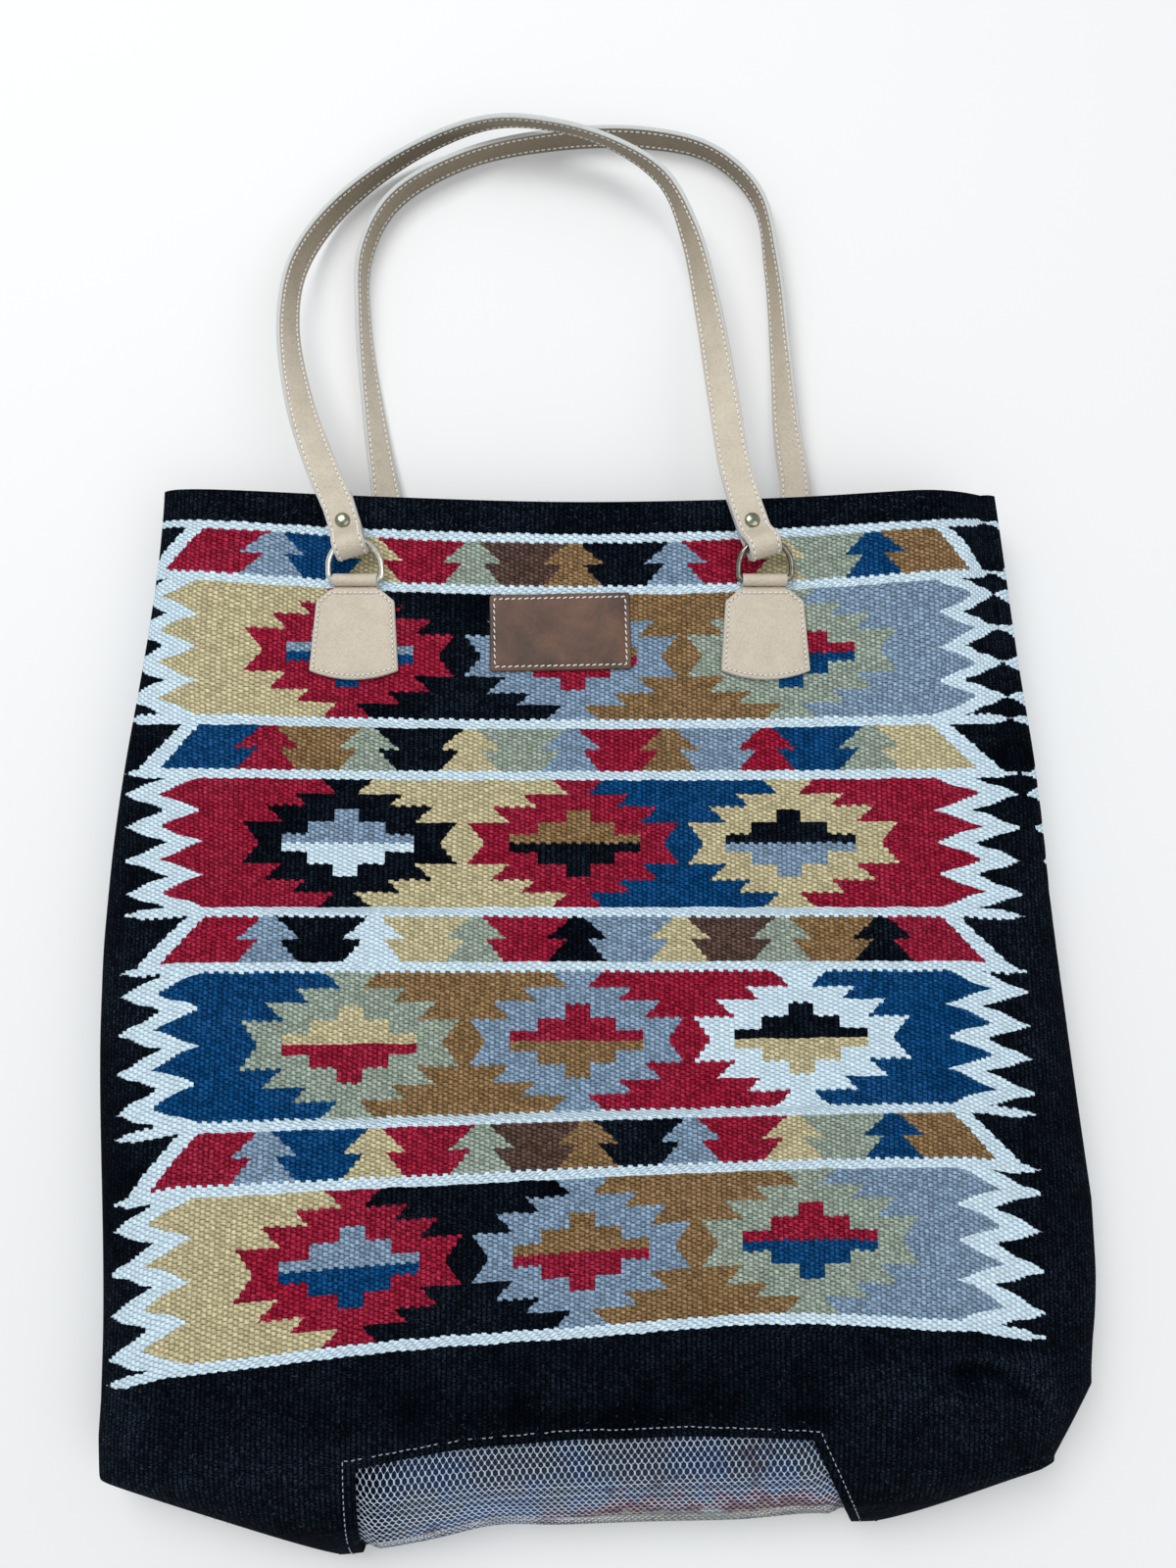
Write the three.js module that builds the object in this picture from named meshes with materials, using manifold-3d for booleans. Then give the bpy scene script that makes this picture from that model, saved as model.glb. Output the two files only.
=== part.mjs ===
// A flat-woven tote bag lying on its back: two cloth panels sewn at the sides and under the base,
// a net window let into the base, two leather straps looped on D-rings that swing in leather tabs.
// Millimetres. X runs across the bag, Y from the base to the mouth and straps, Z up from the floor.
import * as THREE from "three";
import { mergeVertices } from "three/addons/utils/BufferGeometryUtils.js";
import Module from "manifold-3d";

// Bag body
const CLOTH = 3.5; // thickness of the woven cloth
const GAP = 0.3; // clearance between neighbouring pieces
const SEAM_GAP = 0.6; // between the two panels along the seams
const MOUTH_Y = 226;
const FACE_HEIGHT = 431; // from the mouth to where the front turns over into the base
const BASE_HALF = 70; // from there to the fold along the middle of the base
const BASE_Y = MOUTH_Y - FACE_HEIGHT;
const FOLD_Y = BASE_Y - BASE_HALF;
const WIDE_LEFT = 234; // half widths as it lies, at the widest
const WIDE_RIGHT = 252;
const MOUTH_LEFT = WIDE_LEFT - 22; // and how much less at the mouth and along the base
const MOUTH_RIGHT = WIDE_RIGHT - 34;
const BASE_LEFT = WIDE_LEFT - 10;
const BASE_RIGHT = WIDE_RIGHT - 5;
const FOLD_LEFT = 111;
const FOLD_RIGHT = 146;
const FRONT_Z = 46; // height of the front face at the mouth and at the base
const BELLY_Z = 50;
const BACK_LIFT = 17.8; // the back is lifted off the floor at the mouth by its own rings
const LIFT_FROM = 0.28; // shares of the height between which the lifted back comes down to the floor
const LIFT_TO = 0.5;
const FOLD_Z = 12;
const FLAT_SHARE = 0.64; // middle share of each panel that lies flat
const SHOULDER = 2.4; // roundness of the sides
const MOUTH_DIP = 7; // rows curve towards the mouth at the sides, and the base end is skewed
const BASE_SKEW = 12;
const FOLD_SKEW = 7.5;
const SEAM_ROLL = 13; // how far the right seam shows on the front at the mouth
const SEAM_TUCK = 4; // how far a seam hides under the side

// Net window
const NET = 1.2;
const NET_EDGE = 7; // net under the cloth, round the window
const NET_CELL = 16;
const NET_BAR = 3;
const WINDOW_DROP = 16; // from the edge of the base to the window
const WINDOW_TOP = BASE_Y - WINDOW_DROP;
const WINDOW_LEFT = 100;
const WINDOW_RIGHT = 110;
const WINDOW_FLARE = 24; // the right side of the window leans out towards the fold

// Rings, tabs and label
const WIRE = 3;
const RING_WIDTH = 26.5; // between wire centres
const RING_HEIGHT = 19.5;
const RING_CORNER = 3.2;
const RING_TILT = 17; // degrees, the strap under the bow holds the ring up
const BAR_Y = 181.5;
const TAB_LEATHER = 1.3;
const TAB_LOOP = 22;
const TAB_TOP = 25;
const TAB_SHOULDER = 39;
const TAB_BOTTOM = 44;
const TAB_LENGTH = 45.8;
const TAB_SAG = 4.5;
const FRONT_TABS = [-108.5, 95.5];
const BACK_TABS = [-88.5, 115.5];
const LABEL = [70, 39, 1.6];
const LABEL_AT = [-6.3, 155.5];
const LABEL_TURN = 1.2;

// Straps and rivets
const STRAP_WIDTH = 16;
const STRAP = 2.6;
const LOOP_ROOM = 4.2; // inner radius of the fold round the ring
const LOOP_BACK = 2.2;
const LOOP_RISE = 1.5;
const LOOP_SHIFT = 2.6; // a strap that leans sits this far down the bow
const PINCH = 7.5; // from the ring to where the two layers meet
const TAIL = 27;
const RIVET_AT = 11.6;
const RIVET_CAP = 3.8;
const RIVET_POST = 1.3;
const RIVET_DOME = 1.5;

const wasm = await Module();
wasm.setup();

const clamp = (x, a, b) => Math.min(b, Math.max(a, x));
const ease = (a, b, x) => {
  const t = clamp((x - a) / (b - a), 0, 1);
  return t * t * (3 - 2 * t);
};
const mix = (a, b, t) => a + (b - a) * t;
const rad = (d) => (d * Math.PI) / 180;

function geometry(points, faces) {
  const g = new THREE.BufferGeometry();
  g.setAttribute("position", new THREE.Float32BufferAttribute(points.flatMap((p) => [p.x, p.y, p.z]), 3));
  g.setIndex(faces.flat());
  return g;
}

function solid(g) {
  const bare = new THREE.BufferGeometry();
  bare.setAttribute("position", g.getAttribute("position"));
  if (g.index) bare.setIndex(g.index);
  const m = mergeVertices(bare, 1e-4);
  return new wasm.Manifold(
    new wasm.Mesh({
      numProp: 3,
      vertProperties: new Float32Array(m.getAttribute("position").array),
      triVerts: new Uint32Array(m.index.array),
    }),
  );
}

function fromSolid(s) {
  const mesh = s.getMesh();
  const g = new THREE.BufferGeometry();
  const points = [];
  for (let i = 0; i < mesh.vertProperties.length; i += mesh.numProp)
    points.push(mesh.vertProperties[i], mesh.vertProperties[i + 1], mesh.vertProperties[i + 2]);
  g.setAttribute("position", new THREE.Float32BufferAttribute(points, 3));
  g.setIndex([...mesh.triVerts]);
  return g;
}

// One row across the bag: k runs from 0 at the mouth to 1 at the base edge and 2 at the fold.
function rowAt(k) {
  const f = clamp(k, 0, 1);
  const s = Math.sin((clamp(k - 1, 0, 1) * Math.PI) / 2);
  const skew = mix(BASE_SKEW, FOLD_SKEW, s);
  const left = mix(mix(MOUTH_LEFT, WIDE_LEFT, ease(0, 0.55, f)), BASE_LEFT, ease(0.6, 1, f));
  const right = mix(mix(MOUTH_RIGHT, WIDE_RIGHT, clamp(f / 0.82, 0, 1)), BASE_RIGHT, ease(0.88, 1, f));
  const inLeft = clamp((s - 0.32) / 0.68, 0, 1);
  const inRight = 0.16 * clamp(s / 0.5, 0, 1) + 0.84 * clamp((s - 0.55) / 0.45, 0, 1);
  const top = mix(FRONT_Z, BELLY_Z, ease(0.3, 0.9, f));
  const bottom = BACK_LIFT * (1 - ease(LIFT_FROM, LIFT_TO, f));
  return {
    y: mix(MOUTH_Y, BASE_Y, f) + (FOLD_Y - BASE_Y) * s,
    dip: MOUTH_DIP * clamp(1 - 2 * f, 0, 1),
    lean: skew * ease(0.49, 0.9, f),
    sag: skew * clamp((f - 0.53) / 0.4, 0, 1) ** 3,
    left: mix(left, FOLD_LEFT, inLeft),
    right: mix(right, FOLD_RIGHT, inRight),
    top: FOLD_Z + (top - FOLD_Z) * Math.sqrt(1 - s * s),
    bottom: bottom + FOLD_Z * (1 - Math.sqrt(1 - s ** 8)),
    middle: mix((top + bottom) / 2, FOLD_Z, s),
    rollRight: mix(mix(-SEAM_ROLL, SEAM_TUCK, ease(0.28, 0.64, f)), 0, ease(0.9, 1.0, f)),
    rollLeft: mix(SEAM_TUCK, 0, ease(0.9, 1.0, f)),
  };
}

// Half of the closed section of a row, from the middle of the front round one side to the middle
// of the back.
const STEPS = 24;
function halfSection(row, side) {
  const reach = side > 0 ? row.right : row.left;
  const line = [[0, row.top]];
  const turn = [];
  for (let i = 0; i <= 2 * STEPS; i++) {
    const share = i <= STEPS ? (i / STEPS) ** 1.2 : 2 - ((2 * STEPS - i) / STEPS) ** 1.2;
    const angle = (Math.PI / 2) * share;
    const across = FLAT_SHARE + (1 - FLAT_SHARE) * Math.abs(Math.sin(angle)) ** (2 / SHOULDER);
    const rise = Math.cos(angle);
    const z = rise >= 0 ? mix(row.middle, row.top, rise) : mix(row.middle, row.bottom, -rise);
    turn.push([side * across * reach, z]);
  }
  line.push(...turn, [0, row.bottom]);
  const length = [0];
  for (let i = 1; i < line.length; i++)
    length.push(length[i - 1] + Math.hypot(line[i][0] - line[i - 1][0], line[i][1] - line[i - 1][1]));
  return { line, length, edge: length[STEPS + 1], reach };
}

function along(half, at) {
  const { line, length } = half;
  const d = clamp(at, 0, length[length.length - 1]);
  let i = 1;
  while (i < length.length - 1 && length[i] < d) i++;
  const t = (d - length[i - 1]) / Math.max(1e-9, length[i] - length[i - 1]);
  return [mix(line[i - 1][0], line[i][0], t), mix(line[i - 1][1], line[i][1], t)];
}

function place(row, half, at) {
  const [x, z] = along(half, at);
  const u = x / half.reach;
  return new THREE.Vector3(x, row.y + row.dip * u * u + row.lean * u - row.sag * u * u, z);
}

// Point of the bag's outside: u from -1 at the left seam to 1 at the right one, on the front or the back.
function spot(k, u, front) {
  const row = rowAt(k);
  const half = halfSection(row, u < 0 ? -1 : 1);
  const seam = half.edge + (u < 0 ? row.rollLeft : row.rollRight);
  const end = half.length[half.length.length - 1];
  const share = Math.abs(u);
  const at = front ? share * (seam - SEAM_GAP / 2) : end - share * (end - seam - SEAM_GAP / 2);
  return { row, half, at, end };
}

function outside(k, u, front) {
  const { row, half, at } = spot(k, u, front);
  return place(row, half, at);
}

function outward(k, u, front) {
  const h = 2e-3;
  const { row, half, at, end } = spot(k, u, front);
  const across = place(row, half, Math.min(end, at + 2)).sub(place(row, half, Math.max(0, at - 2)));
  if (u < 0) across.negate();
  const down = outside(Math.min(1.9995, k + h), u, front).sub(outside(Math.max(0, k - h), u, front));
  const n = new THREE.Vector3().crossVectors(down, across);
  if (k > 1.999) n.z = 0; // the two halves of the base meet square at the fold
  return n.normalize();
}

const SHARES = [0, 0.15, 0.3, 0.45, 0.58, 0.68, 0.76, 0.83, 0.89, 0.94, 0.975, 1];
const ACROSS = [...SHARES.slice(1).reverse().map((c) => -c), ...SHARES];
const DOWN = [0, 0.07, 0.14, 0.21, 0.28, 0.35, 0.42, 0.5, 0.6, 0.7, 0.81, 0.91];
const TURN = [0, 0.2, 0.38, 0.54, 0.68, 0.8, 0.89, 0.95, 0.985, 1];
const ROWS = [...DOWN, ...TURN.map((s) => 1 + (2 / Math.PI) * Math.asin(s))];

// A sheet from a grid of outer points and a grid of inner points, closed round its rim.
function sheet(outer, inner) {
  const rows = outer.length;
  const cols = outer[0].length;
  const points = [...outer.flat(), ...inner.flat()];
  const a = (i, j) => i * cols + j;
  const b = (i, j) => rows * cols + i * cols + j;
  const faces = [];
  const quad = (p, q, r, s) => faces.push([p, q, r], [p, r, s]);
  for (let i = 0; i + 1 < rows; i++)
    for (let j = 0; j + 1 < cols; j++) {
      quad(a(i, j), a(i + 1, j), a(i + 1, j + 1), a(i, j + 1));
      quad(b(i, j), b(i, j + 1), b(i + 1, j + 1), b(i + 1, j));
    }
  for (let j = 0; j + 1 < cols; j++) {
    quad(a(0, j), a(0, j + 1), b(0, j + 1), b(0, j));
    quad(a(rows - 1, j + 1), a(rows - 1, j), b(rows - 1, j), b(rows - 1, j + 1));
  }
  for (let i = 0; i + 1 < rows; i++) {
    quad(a(i + 1, 0), a(i, 0), b(i, 0), b(i + 1, 0));
    quad(a(i, cols - 1), a(i + 1, cols - 1), b(i + 1, cols - 1), b(i, cols - 1));
  }
  return geometry(points, faces);
}

function panel(front) {
  const across = front ? ACROSS : [...ACROSS].reverse();
  const lift = new THREE.Vector3(0, 0, front ? GAP : 0);
  const outer = ROWS.map((k) => across.map((u) => outside(k, u, front).add(lift)));
  const inner = ROWS.map((k) =>
    across.map((u) => outside(k, u, front).add(lift).addScaledVector(outward(k, u, front), -CLOTH)),
  );
  return sheet(outer, inner);
}

// The opening in the base, seen from above.
function windowOutline(grow) {
  const right = WINDOW_RIGHT + grow;
  const left = WINDOW_LEFT + grow;
  const top = WINDOW_TOP + grow;
  const low = FOLD_Y - 40;
  const flare = WINDOW_FLARE;
  return [
    [-left, low],
    [right + flare, low],
    [right + flare, FOLD_Y + 2],
    [right, top - 2],
    [right * 0.5, top],
    [0, top - 1],
    [-left * 0.5, top - 6],
    [-left, top - 15],
  ];
}

function prism(outline, low, high) {
  const shape = new THREE.Shape(outline.map(([x, y]) => new THREE.Vector2(x, y)));
  return new THREE.ExtrudeGeometry(shape, { depth: high - low, bevelEnabled: false }).translate(0, 0, low);
}

const opening = solid(prism(windowOutline(0), -20, BELLY_Z + 20));

const frontCloth = solid(panel(true)).subtract(opening);
// The back is trimmed where its corners would reach the front's at the ends of the fold.
const overBack = solid(fromSolid(frontCloth).translate(0, 0, -GAP));
const backCloth = solid(panel(false)).subtract(opening).subtract(overBack);

// The net lies inside the cloth and is bent round the fold of the base, front half first.
function netWindow() {
  const steps = 8;
  const turn = [0.13, 0.36, 0.6, 0.8, 0.93, 0.985];
  const rows = [
    ...turn.map((s) => [s, true]),
    [0.9995, true],
    ...[...turn].reverse().map((s) => [s, false]),
  ];
  const outer = [];
  const inner = [];
  for (const [s, front] of rows) {
    const k = 1 + (2 / Math.PI) * Math.asin(s);
    const row = rowAt(k);
    const under = s > 0.9 ? -4 : NET_EDGE;
    const left = Math.min(WINDOW_LEFT + under, row.left - 2 * CLOTH);
    const flare = WINDOW_FLARE * clamp((s - 0.2) / 0.8, 0, 1);
    const right = Math.min(WINDOW_RIGHT + flare + under, row.right - 2 * CLOTH);
    const o = [];
    const n = [];
    for (let i = 0; i <= steps; i++) {
      const x = mix(-left, right, i / steps);
      const half = halfSection(row, x < 0 ? -1 : 1);
      const end = half.length[half.length.length - 1];
      const seam = half.edge + (x < 0 ? row.rollLeft : row.rollRight);
      const flat = Math.abs(x);
      const share = front ? flat / (seam - 0.5 * GAP) : flat / (end - seam - 0.5 * GAP);
      const u = Math.sign(x) * Math.min(share, 0.98);
      const p = outside(k, u, front);
      const d = s > 0.999 ? new THREE.Vector3(0, -1, 0) : outward(k, u, front);
      const gap = CLOTH + 2 * GAP;
      o.push(p.clone().addScaledVector(d, -gap));
      n.push(p.clone().addScaledVector(d, -gap - NET));
    }
    outer.push(o);
    inner.push(n);
  }
  let net = solid(sheet(outer, inner));
  const size = (NET_CELL - NET_BAR) / Math.sqrt(3);
  for (let r = 0; r < 3; r++)
    for (let c = 0; c < 13; c++) {
      const x = NET_CELL * (c + (r % 2 ? 0.5 : 0)) - WINDOW_LEFT + 0.7 * NET_CELL;
      const y = WINDOW_TOP - NET_CELL * (0.85 + 0.87 * r) + Math.min(0, x * 0.08);
      const hex = [];
      for (let i = 0; i < 6; i++) {
        const angle = Math.PI / 6 + (i * Math.PI) / 3;
        hex.push([x + size * Math.cos(angle), y + size * Math.sin(angle)]);
      }
      if (x < WINDOW_RIGHT + 3 * r) net = net.subtract(solid(prism(hex, -10, BELLY_Z + 10)));
    }
  return fromSolid(net);
}

// A closed loop or an open run of cross sections joined into one body.
function sweep(sections, closed) {
  const n = sections.length;
  const m = sections[0].length;
  const faces = [];
  const last = closed ? n : n - 1;
  for (let i = 0; i < last; i++)
    for (let j = 0; j < m; j++) {
      const a = i * m + j;
      const b = i * m + ((j + 1) % m);
      const c = ((i + 1) % n) * m + ((j + 1) % m);
      const d = ((i + 1) % n) * m + j;
      faces.push([a, b, c], [a, c, d]);
    }
  if (!closed)
    for (let j = 1; j + 1 < m; j++) {
      faces.push([0, j + 1, j]);
      faces.push([(n - 1) * m, (n - 1) * m + j, (n - 1) * m + j + 1]);
    }
  return geometry(sections.flat(), faces);
}

// A D-ring lies in its own plane: bar along X through the origin, bow towards +Y.
function ringShape() {
  const half = RING_WIDTH / 2;
  const c = RING_CORNER;
  const straight = RING_HEIGHT - half;
  const path = [];
  for (let i = 0; i <= 3; i++) {
    const a = rad(-90 + i * 30);
    path.push([half - c + c * Math.cos(a), c + c * Math.sin(a)]);
  }
  for (let i = 0; i <= 16; i++) {
    const a = rad((180 * i) / 16);
    path.push([half * Math.cos(a), straight + half * Math.sin(a)]);
  }
  for (let i = 0; i <= 3; i++) {
    const a = rad(180 + i * 30);
    path.push([-half + c + c * Math.cos(a), c + c * Math.sin(a)]);
  }
  const n = path.length;
  const sides = 8;
  const sections = path.map(([x, y], i) => {
    const [px, py] = path[(i + n - 1) % n];
    const [qx, qy] = path[(i + 1) % n];
    const before = new THREE.Vector2(x - px, y - py).normalize();
    const after = new THREE.Vector2(qx - x, qy - y).normalize();
    const t = before.add(after).normalize();
    const out = new THREE.Vector3(t.y, -t.x, 0);
    const ring = [];
    for (let j = 0; j < sides; j++) {
      const a = (2 * Math.PI * j) / sides;
      const p = new THREE.Vector3(x, y, 0).addScaledVector(out, (WIRE / 2) * Math.cos(a));
      p.z = (WIRE / 2) * Math.sin(a);
      ring.push(p);
    }
    return ring.reverse();
  });
  return sweep(sections, true);
}

const TAB_EYE = WIRE / 2 + GAP + TAB_LEATHER; // outer radius of the leather round the bar
const FRONT_FACE = FRONT_Z + GAP;
const FRONT_BAR = FRONT_FACE + GAP + TAB_EYE;
const BACK_BAR = BACK_LIFT - GAP - TAB_EYE;

function ring(x, side) {
  const bar = side > 0 ? FRONT_BAR : BACK_BAR;
  return ringShape().rotateX(rad(side * RING_TILT)).translate(x, BAR_Y, bar);
}

// A tab lies on z = 0 facing up, its eye at the origin's height over the bar.
function tabShape() {
  const plate = 2 * TAB_LEATHER;
  const low = -TAB_LENGTH;
  const shape = new THREE.Shape();
  shape.moveTo(-TAB_LOOP / 2, -2.2);
  shape.lineTo(-TAB_LOOP / 2, -4.5);
  shape.lineTo(-TAB_TOP / 2, -4.5);
  shape.lineTo(-TAB_SHOULDER / 2, -10.5);
  shape.lineTo(-TAB_BOTTOM / 2, low + 0.5);
  shape.quadraticCurveTo(0, low - 2 * TAB_SAG, TAB_BOTTOM / 2, low + 0.5);
  shape.lineTo(TAB_SHOULDER / 2, -10.5);
  shape.lineTo(TAB_TOP / 2, -4.5);
  shape.lineTo(TAB_LOOP / 2, -4.5);
  shape.lineTo(TAB_LOOP / 2, -2.2);
  const body = new THREE.ExtrudeGeometry(shape, { depth: plate, bevelEnabled: false, curveSegments: 8 });
  const eye = new THREE.Shape();
  eye.moveTo(-8, 0);
  eye.lineTo(0, 0);
  eye.absarc(0, TAB_EYE, TAB_EYE, -Math.PI / 2, Math.PI * 0.62, false);
  eye.lineTo(-8, plate);
  const bore = new THREE.Path();
  bore.absarc(0, TAB_EYE, WIRE / 2 + GAP, 0, 2 * Math.PI, true);
  eye.holes.push(bore);
  const loop = new THREE.ExtrudeGeometry(eye, { depth: TAB_LOOP, bevelEnabled: false, curveSegments: 9 });
  const turn = new THREE.Matrix4().set(0, 0, 1, -TAB_LOOP / 2, 1, 0, 0, 0, 0, 1, 0, 0, 0, 0, 0, 1);
  loop.applyMatrix4(turn);
  const clearBar = solid(
    new THREE.CylinderGeometry(WIRE / 2 + GAP, WIRE / 2 + GAP, TAB_LOOP + 4, 24)
      .rotateZ(Math.PI / 2)
      .translate(0, 0, TAB_EYE),
  );
  return fromSolid(solid(body).add(solid(loop)).subtract(clearBar));
}

function tab(x, side) {
  const g = tabShape();
  if (side < 0) g.rotateY(Math.PI);
  return g.translate(x, BAR_Y, side > 0 ? FRONT_FACE + GAP : BACK_LIFT - GAP);
}

function labelPatch() {
  const [w, h, thick] = LABEL;
  const r = 1.8;
  const s = new THREE.Shape();
  s.absarc(w / 2 - r, h / 2 - r, r, 0, Math.PI / 2, false);
  s.absarc(-w / 2 + r, h / 2 - r, r, Math.PI / 2, Math.PI, false);
  s.absarc(-w / 2 + r, -h / 2 + r, r, Math.PI, 1.5 * Math.PI, false);
  s.absarc(w / 2 - r, -h / 2 + r, r, 1.5 * Math.PI, 2 * Math.PI, false);
  const g = new THREE.ExtrudeGeometry(s, { depth: thick, bevelEnabled: false, curveSegments: 3 });
  return g.rotateZ(rad(LABEL_TURN)).translate(LABEL_AT[0], LABEL_AT[1], FRONT_FACE + GAP);
}

// Middle line of each strap from the left ring to the right one: x, y, z and how far it stands on edge.
const FRONT_ROUTE = [
  [-127, 240, 47.5, 12],
  [-142, 280, 38, 38],
  [-152.5, 332, 26, 64],
  [-149.5, 372, 16, 74],
  [-127, 411, 9.2, 84],
  [-86, 439.5, 13, 97],
  [-45, 447, 24.5, 107],
  [-8, 442, 28, 109],
  [24, 430, 28.5, 103],
  [48.5, 410, 29.5, 88],
  [62, 378, 31, 66],
  [71, 330, 35.5, 43],
  [77, 280, 43, 20],
  [82, 240, 48, 6],
];
const BACK_ROUTE = [
  [-101, 240, 10.2, 28],
  [-108, 280, 8.6, 52],
  [-116, 340, 8.4, 75],
  [-116, 379, 8.4, 80],
  [-101, 411, 8.4, 86],
  [-62, 436, 8.4, 91],
  [-10, 448, 8.4, 88],
  [40, 449, 8.4, 88],
  [77, 439.5, 8.4, 94],
  [101.5, 414, 8.4, 87],
  [109.5, 372, 8.4, 73],
  [113, 320, 8.4, 60],
  [115.5, 277, 8.6, 40],
  [119, 242, 10.2, 20],
];

const TILT = rad(RING_TILT);
const FLAT_LIFT = 1.3; // middle of the two pressed layers over the bar

// One end of a strap: it comes in along its face, folds round the bow and doubles back as the tail.
function strapEnd(x, side, lean) {
  const shift = lean ? LOOP_SHIFT : 0;
  const half = RING_WIDTH / 2;
  const reach = RING_HEIGHT - half + Math.sqrt(half * half - shift * shift);
  const bar = side > 0 ? FRONT_BAR : BACK_BAR;
  const bowY = BAR_Y + reach * Math.cos(TILT);
  const bowZ = bar + side * reach * Math.sin(TILT);
  const pressed = (STRAP + GAP) / 2;
  const open = LOOP_ROOM + STRAP / 2;
  const turn = rad(lean);
  const wide = new THREE.Vector3(-Math.cos(turn), -Math.sin(turn), 0);
  const spotAt = (d, z) => new THREE.Vector3(x - shift - d * Math.sin(turn), bowY + d * Math.cos(turn), z);
  const layer = (d, which) => {
    const t = clamp((d + LOOP_BACK) / (PINCH + LOOP_BACK), 0, 1);
    const centre = mix(bowZ + side * LOOP_RISE, bar + side * FLAT_LIFT, ease(0, 1, t));
    const spread = mix(open, pressed, t);
    return { at: spotAt(d, centre + side * which * spread), wide };
  };
  const stations = [];
  for (const d of [TAIL, 14, PINCH, 3, 0]) stations.push(layer(d, -1));
  for (let i = 0; i <= 8; i++) {
    const a = -Math.PI / 2 - (Math.PI * i) / 8;
    const z = bowZ + side * (LOOP_RISE + open * Math.sin(a));
    stations.push({ at: spotAt(open * Math.cos(a) - LOOP_BACK, z), wide });
  }
  for (const d of [0, 3, PINCH, 14, 20]) stations.push(layer(d, 1));
  return { stations, rivet: layer(RIVET_AT, 0) };
}

function strapBody(tabs, side, route, leans) {
  const left = strapEnd(tabs[0], side, leans[0]);
  const right = strapEnd(tabs[1], side, leans[1]);
  const start = left.stations[left.stations.length - 1];
  const finish = right.stations[right.stations.length - 1];
  const knots = [
    [...start.at.toArray(), 0],
    ...route,
    [...finish.at.toArray(), 0],
  ];
  const path = knots.map(([x, y, z]) => new THREE.Vector3(x, y, z));
  const curve = new THREE.CatmullRomCurve3(path, false, "centripetal");
  const middle = [];
  const n = knots.length - 1;
  const parts = 2;
  for (let i = 1; i < n * parts; i++) {
    const t = i / (n * parts);
    const at = curve.getPoint(t);
    const along = curve.getTangent(t);
    const seg = Math.min(n - 1, Math.floor(t * n));
    const edge = rad(mix(knots[seg][3], knots[seg + 1][3], ease(0, 1, t * n - seg)));
    const out = new THREE.Vector3(-along.y, along.x, 0).normalize();
    const wide = out.multiplyScalar(Math.cos(edge)).add(new THREE.Vector3(0, 0, Math.sin(edge)));
    middle.push({ at, wide });
  }
  const rightRun = right.stations.map((s) => ({ at: s.at, wide: s.wide.clone().negate() })).reverse();
  const run = [...left.stations, ...middle, ...rightRun];
  const w = STRAP_WIDTH / 2;
  const h = STRAP / 2;
  const c = 0.7;
  const outline = [
    [-w, -h + c],
    [-w + c, -h],
    [w - c, -h],
    [w, -h + c],
    [w, h - c],
    [w - c, h],
    [-w + c, h],
    [-w, h - c],
  ];
  const sections = run.map((s, i) => {
    const before = run[Math.max(0, i - 1)].at;
    const after = run[Math.min(run.length - 1, i + 1)].at;
    const t = after.clone().sub(before).normalize();
    const wide = s.wide.clone().addScaledVector(t, -s.wide.dot(t)).normalize();
    const face = new THREE.Vector3().crossVectors(t, wide);
    return outline.map(([a, b]) => s.at.clone().addScaledVector(wide, a).addScaledVector(face, b));
  });
  return { geometry: sweep(sections, false), rivets: [left.rivet, right.rivet] };
}

function rivetShape() {
  const deep = STRAP + GAP / 2 + GAP;
  const r = RIVET_CAP;
  const top = deep + RIVET_DOME;
  const points = [
    [0, -deep - 0.9],
    [r - 1, -deep - 0.9],
    [r, -deep - 0.4],
    [r, -deep],
    [RIVET_POST, -deep],
    [RIVET_POST, deep],
    [r, deep],
    [r, deep + 0.4],
    [r * 0.8, deep + RIVET_DOME * 0.68],
    [r * 0.45, deep + RIVET_DOME * 0.92],
    [0, top],
  ];
  return new THREE.LatheGeometry(points.map(([x, y]) => new THREE.Vector2(x, y)), 12).rotateX(Math.PI / 2);
}

function strapAndRivets(tabs, side, route, leans) {
  const made = strapBody(tabs, side, route, leans);
  let body = solid(made.geometry);
  const rivets = [];
  for (const r of made.rivets) {
    const hole = new THREE.CylinderGeometry(RIVET_POST + GAP, RIVET_POST + GAP, 12, 16).rotateX(Math.PI / 2);
    body = body.subtract(solid(hole.translate(r.at.x, r.at.y, r.at.z)));
    const g = rivetShape();
    if (side < 0) g.rotateX(Math.PI);
    rivets.push(g.translate(r.at.x, r.at.y, r.at.z));
  }
  return { strap: fromSolid(body), rivets };
}

const stuff = (name, color, roughness, metalness) =>
  new THREE.MeshStandardMaterial({ name, color, roughness, metalness });
const leather = (name) => stuff(name, 0xc8b49c, 0.6, 0);
const metal = (name) => stuff(name, 0x9a8a6c, 0.35, 1);
const cloth = (name) => stuff(name, 0x3a2c2c, 0.95, 0);

const bag = new THREE.Group();
bag.name = "tote_bag";
function add(name, shape, material) {
  const mesh = new THREE.Mesh(shape, material);
  mesh.name = name;
  bag.add(mesh);
}

add("front_panel", fromSolid(frontCloth), cloth("front_cloth"));
add("back_panel", fromSolid(backCloth), cloth("back_cloth"));
add("net_window", netWindow(), stuff("net", 0x9aa0a8, 0.45, 0));
add("label_patch", labelPatch(), stuff("label_leather", 0x6b4c3c, 0.6, 0));

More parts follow.
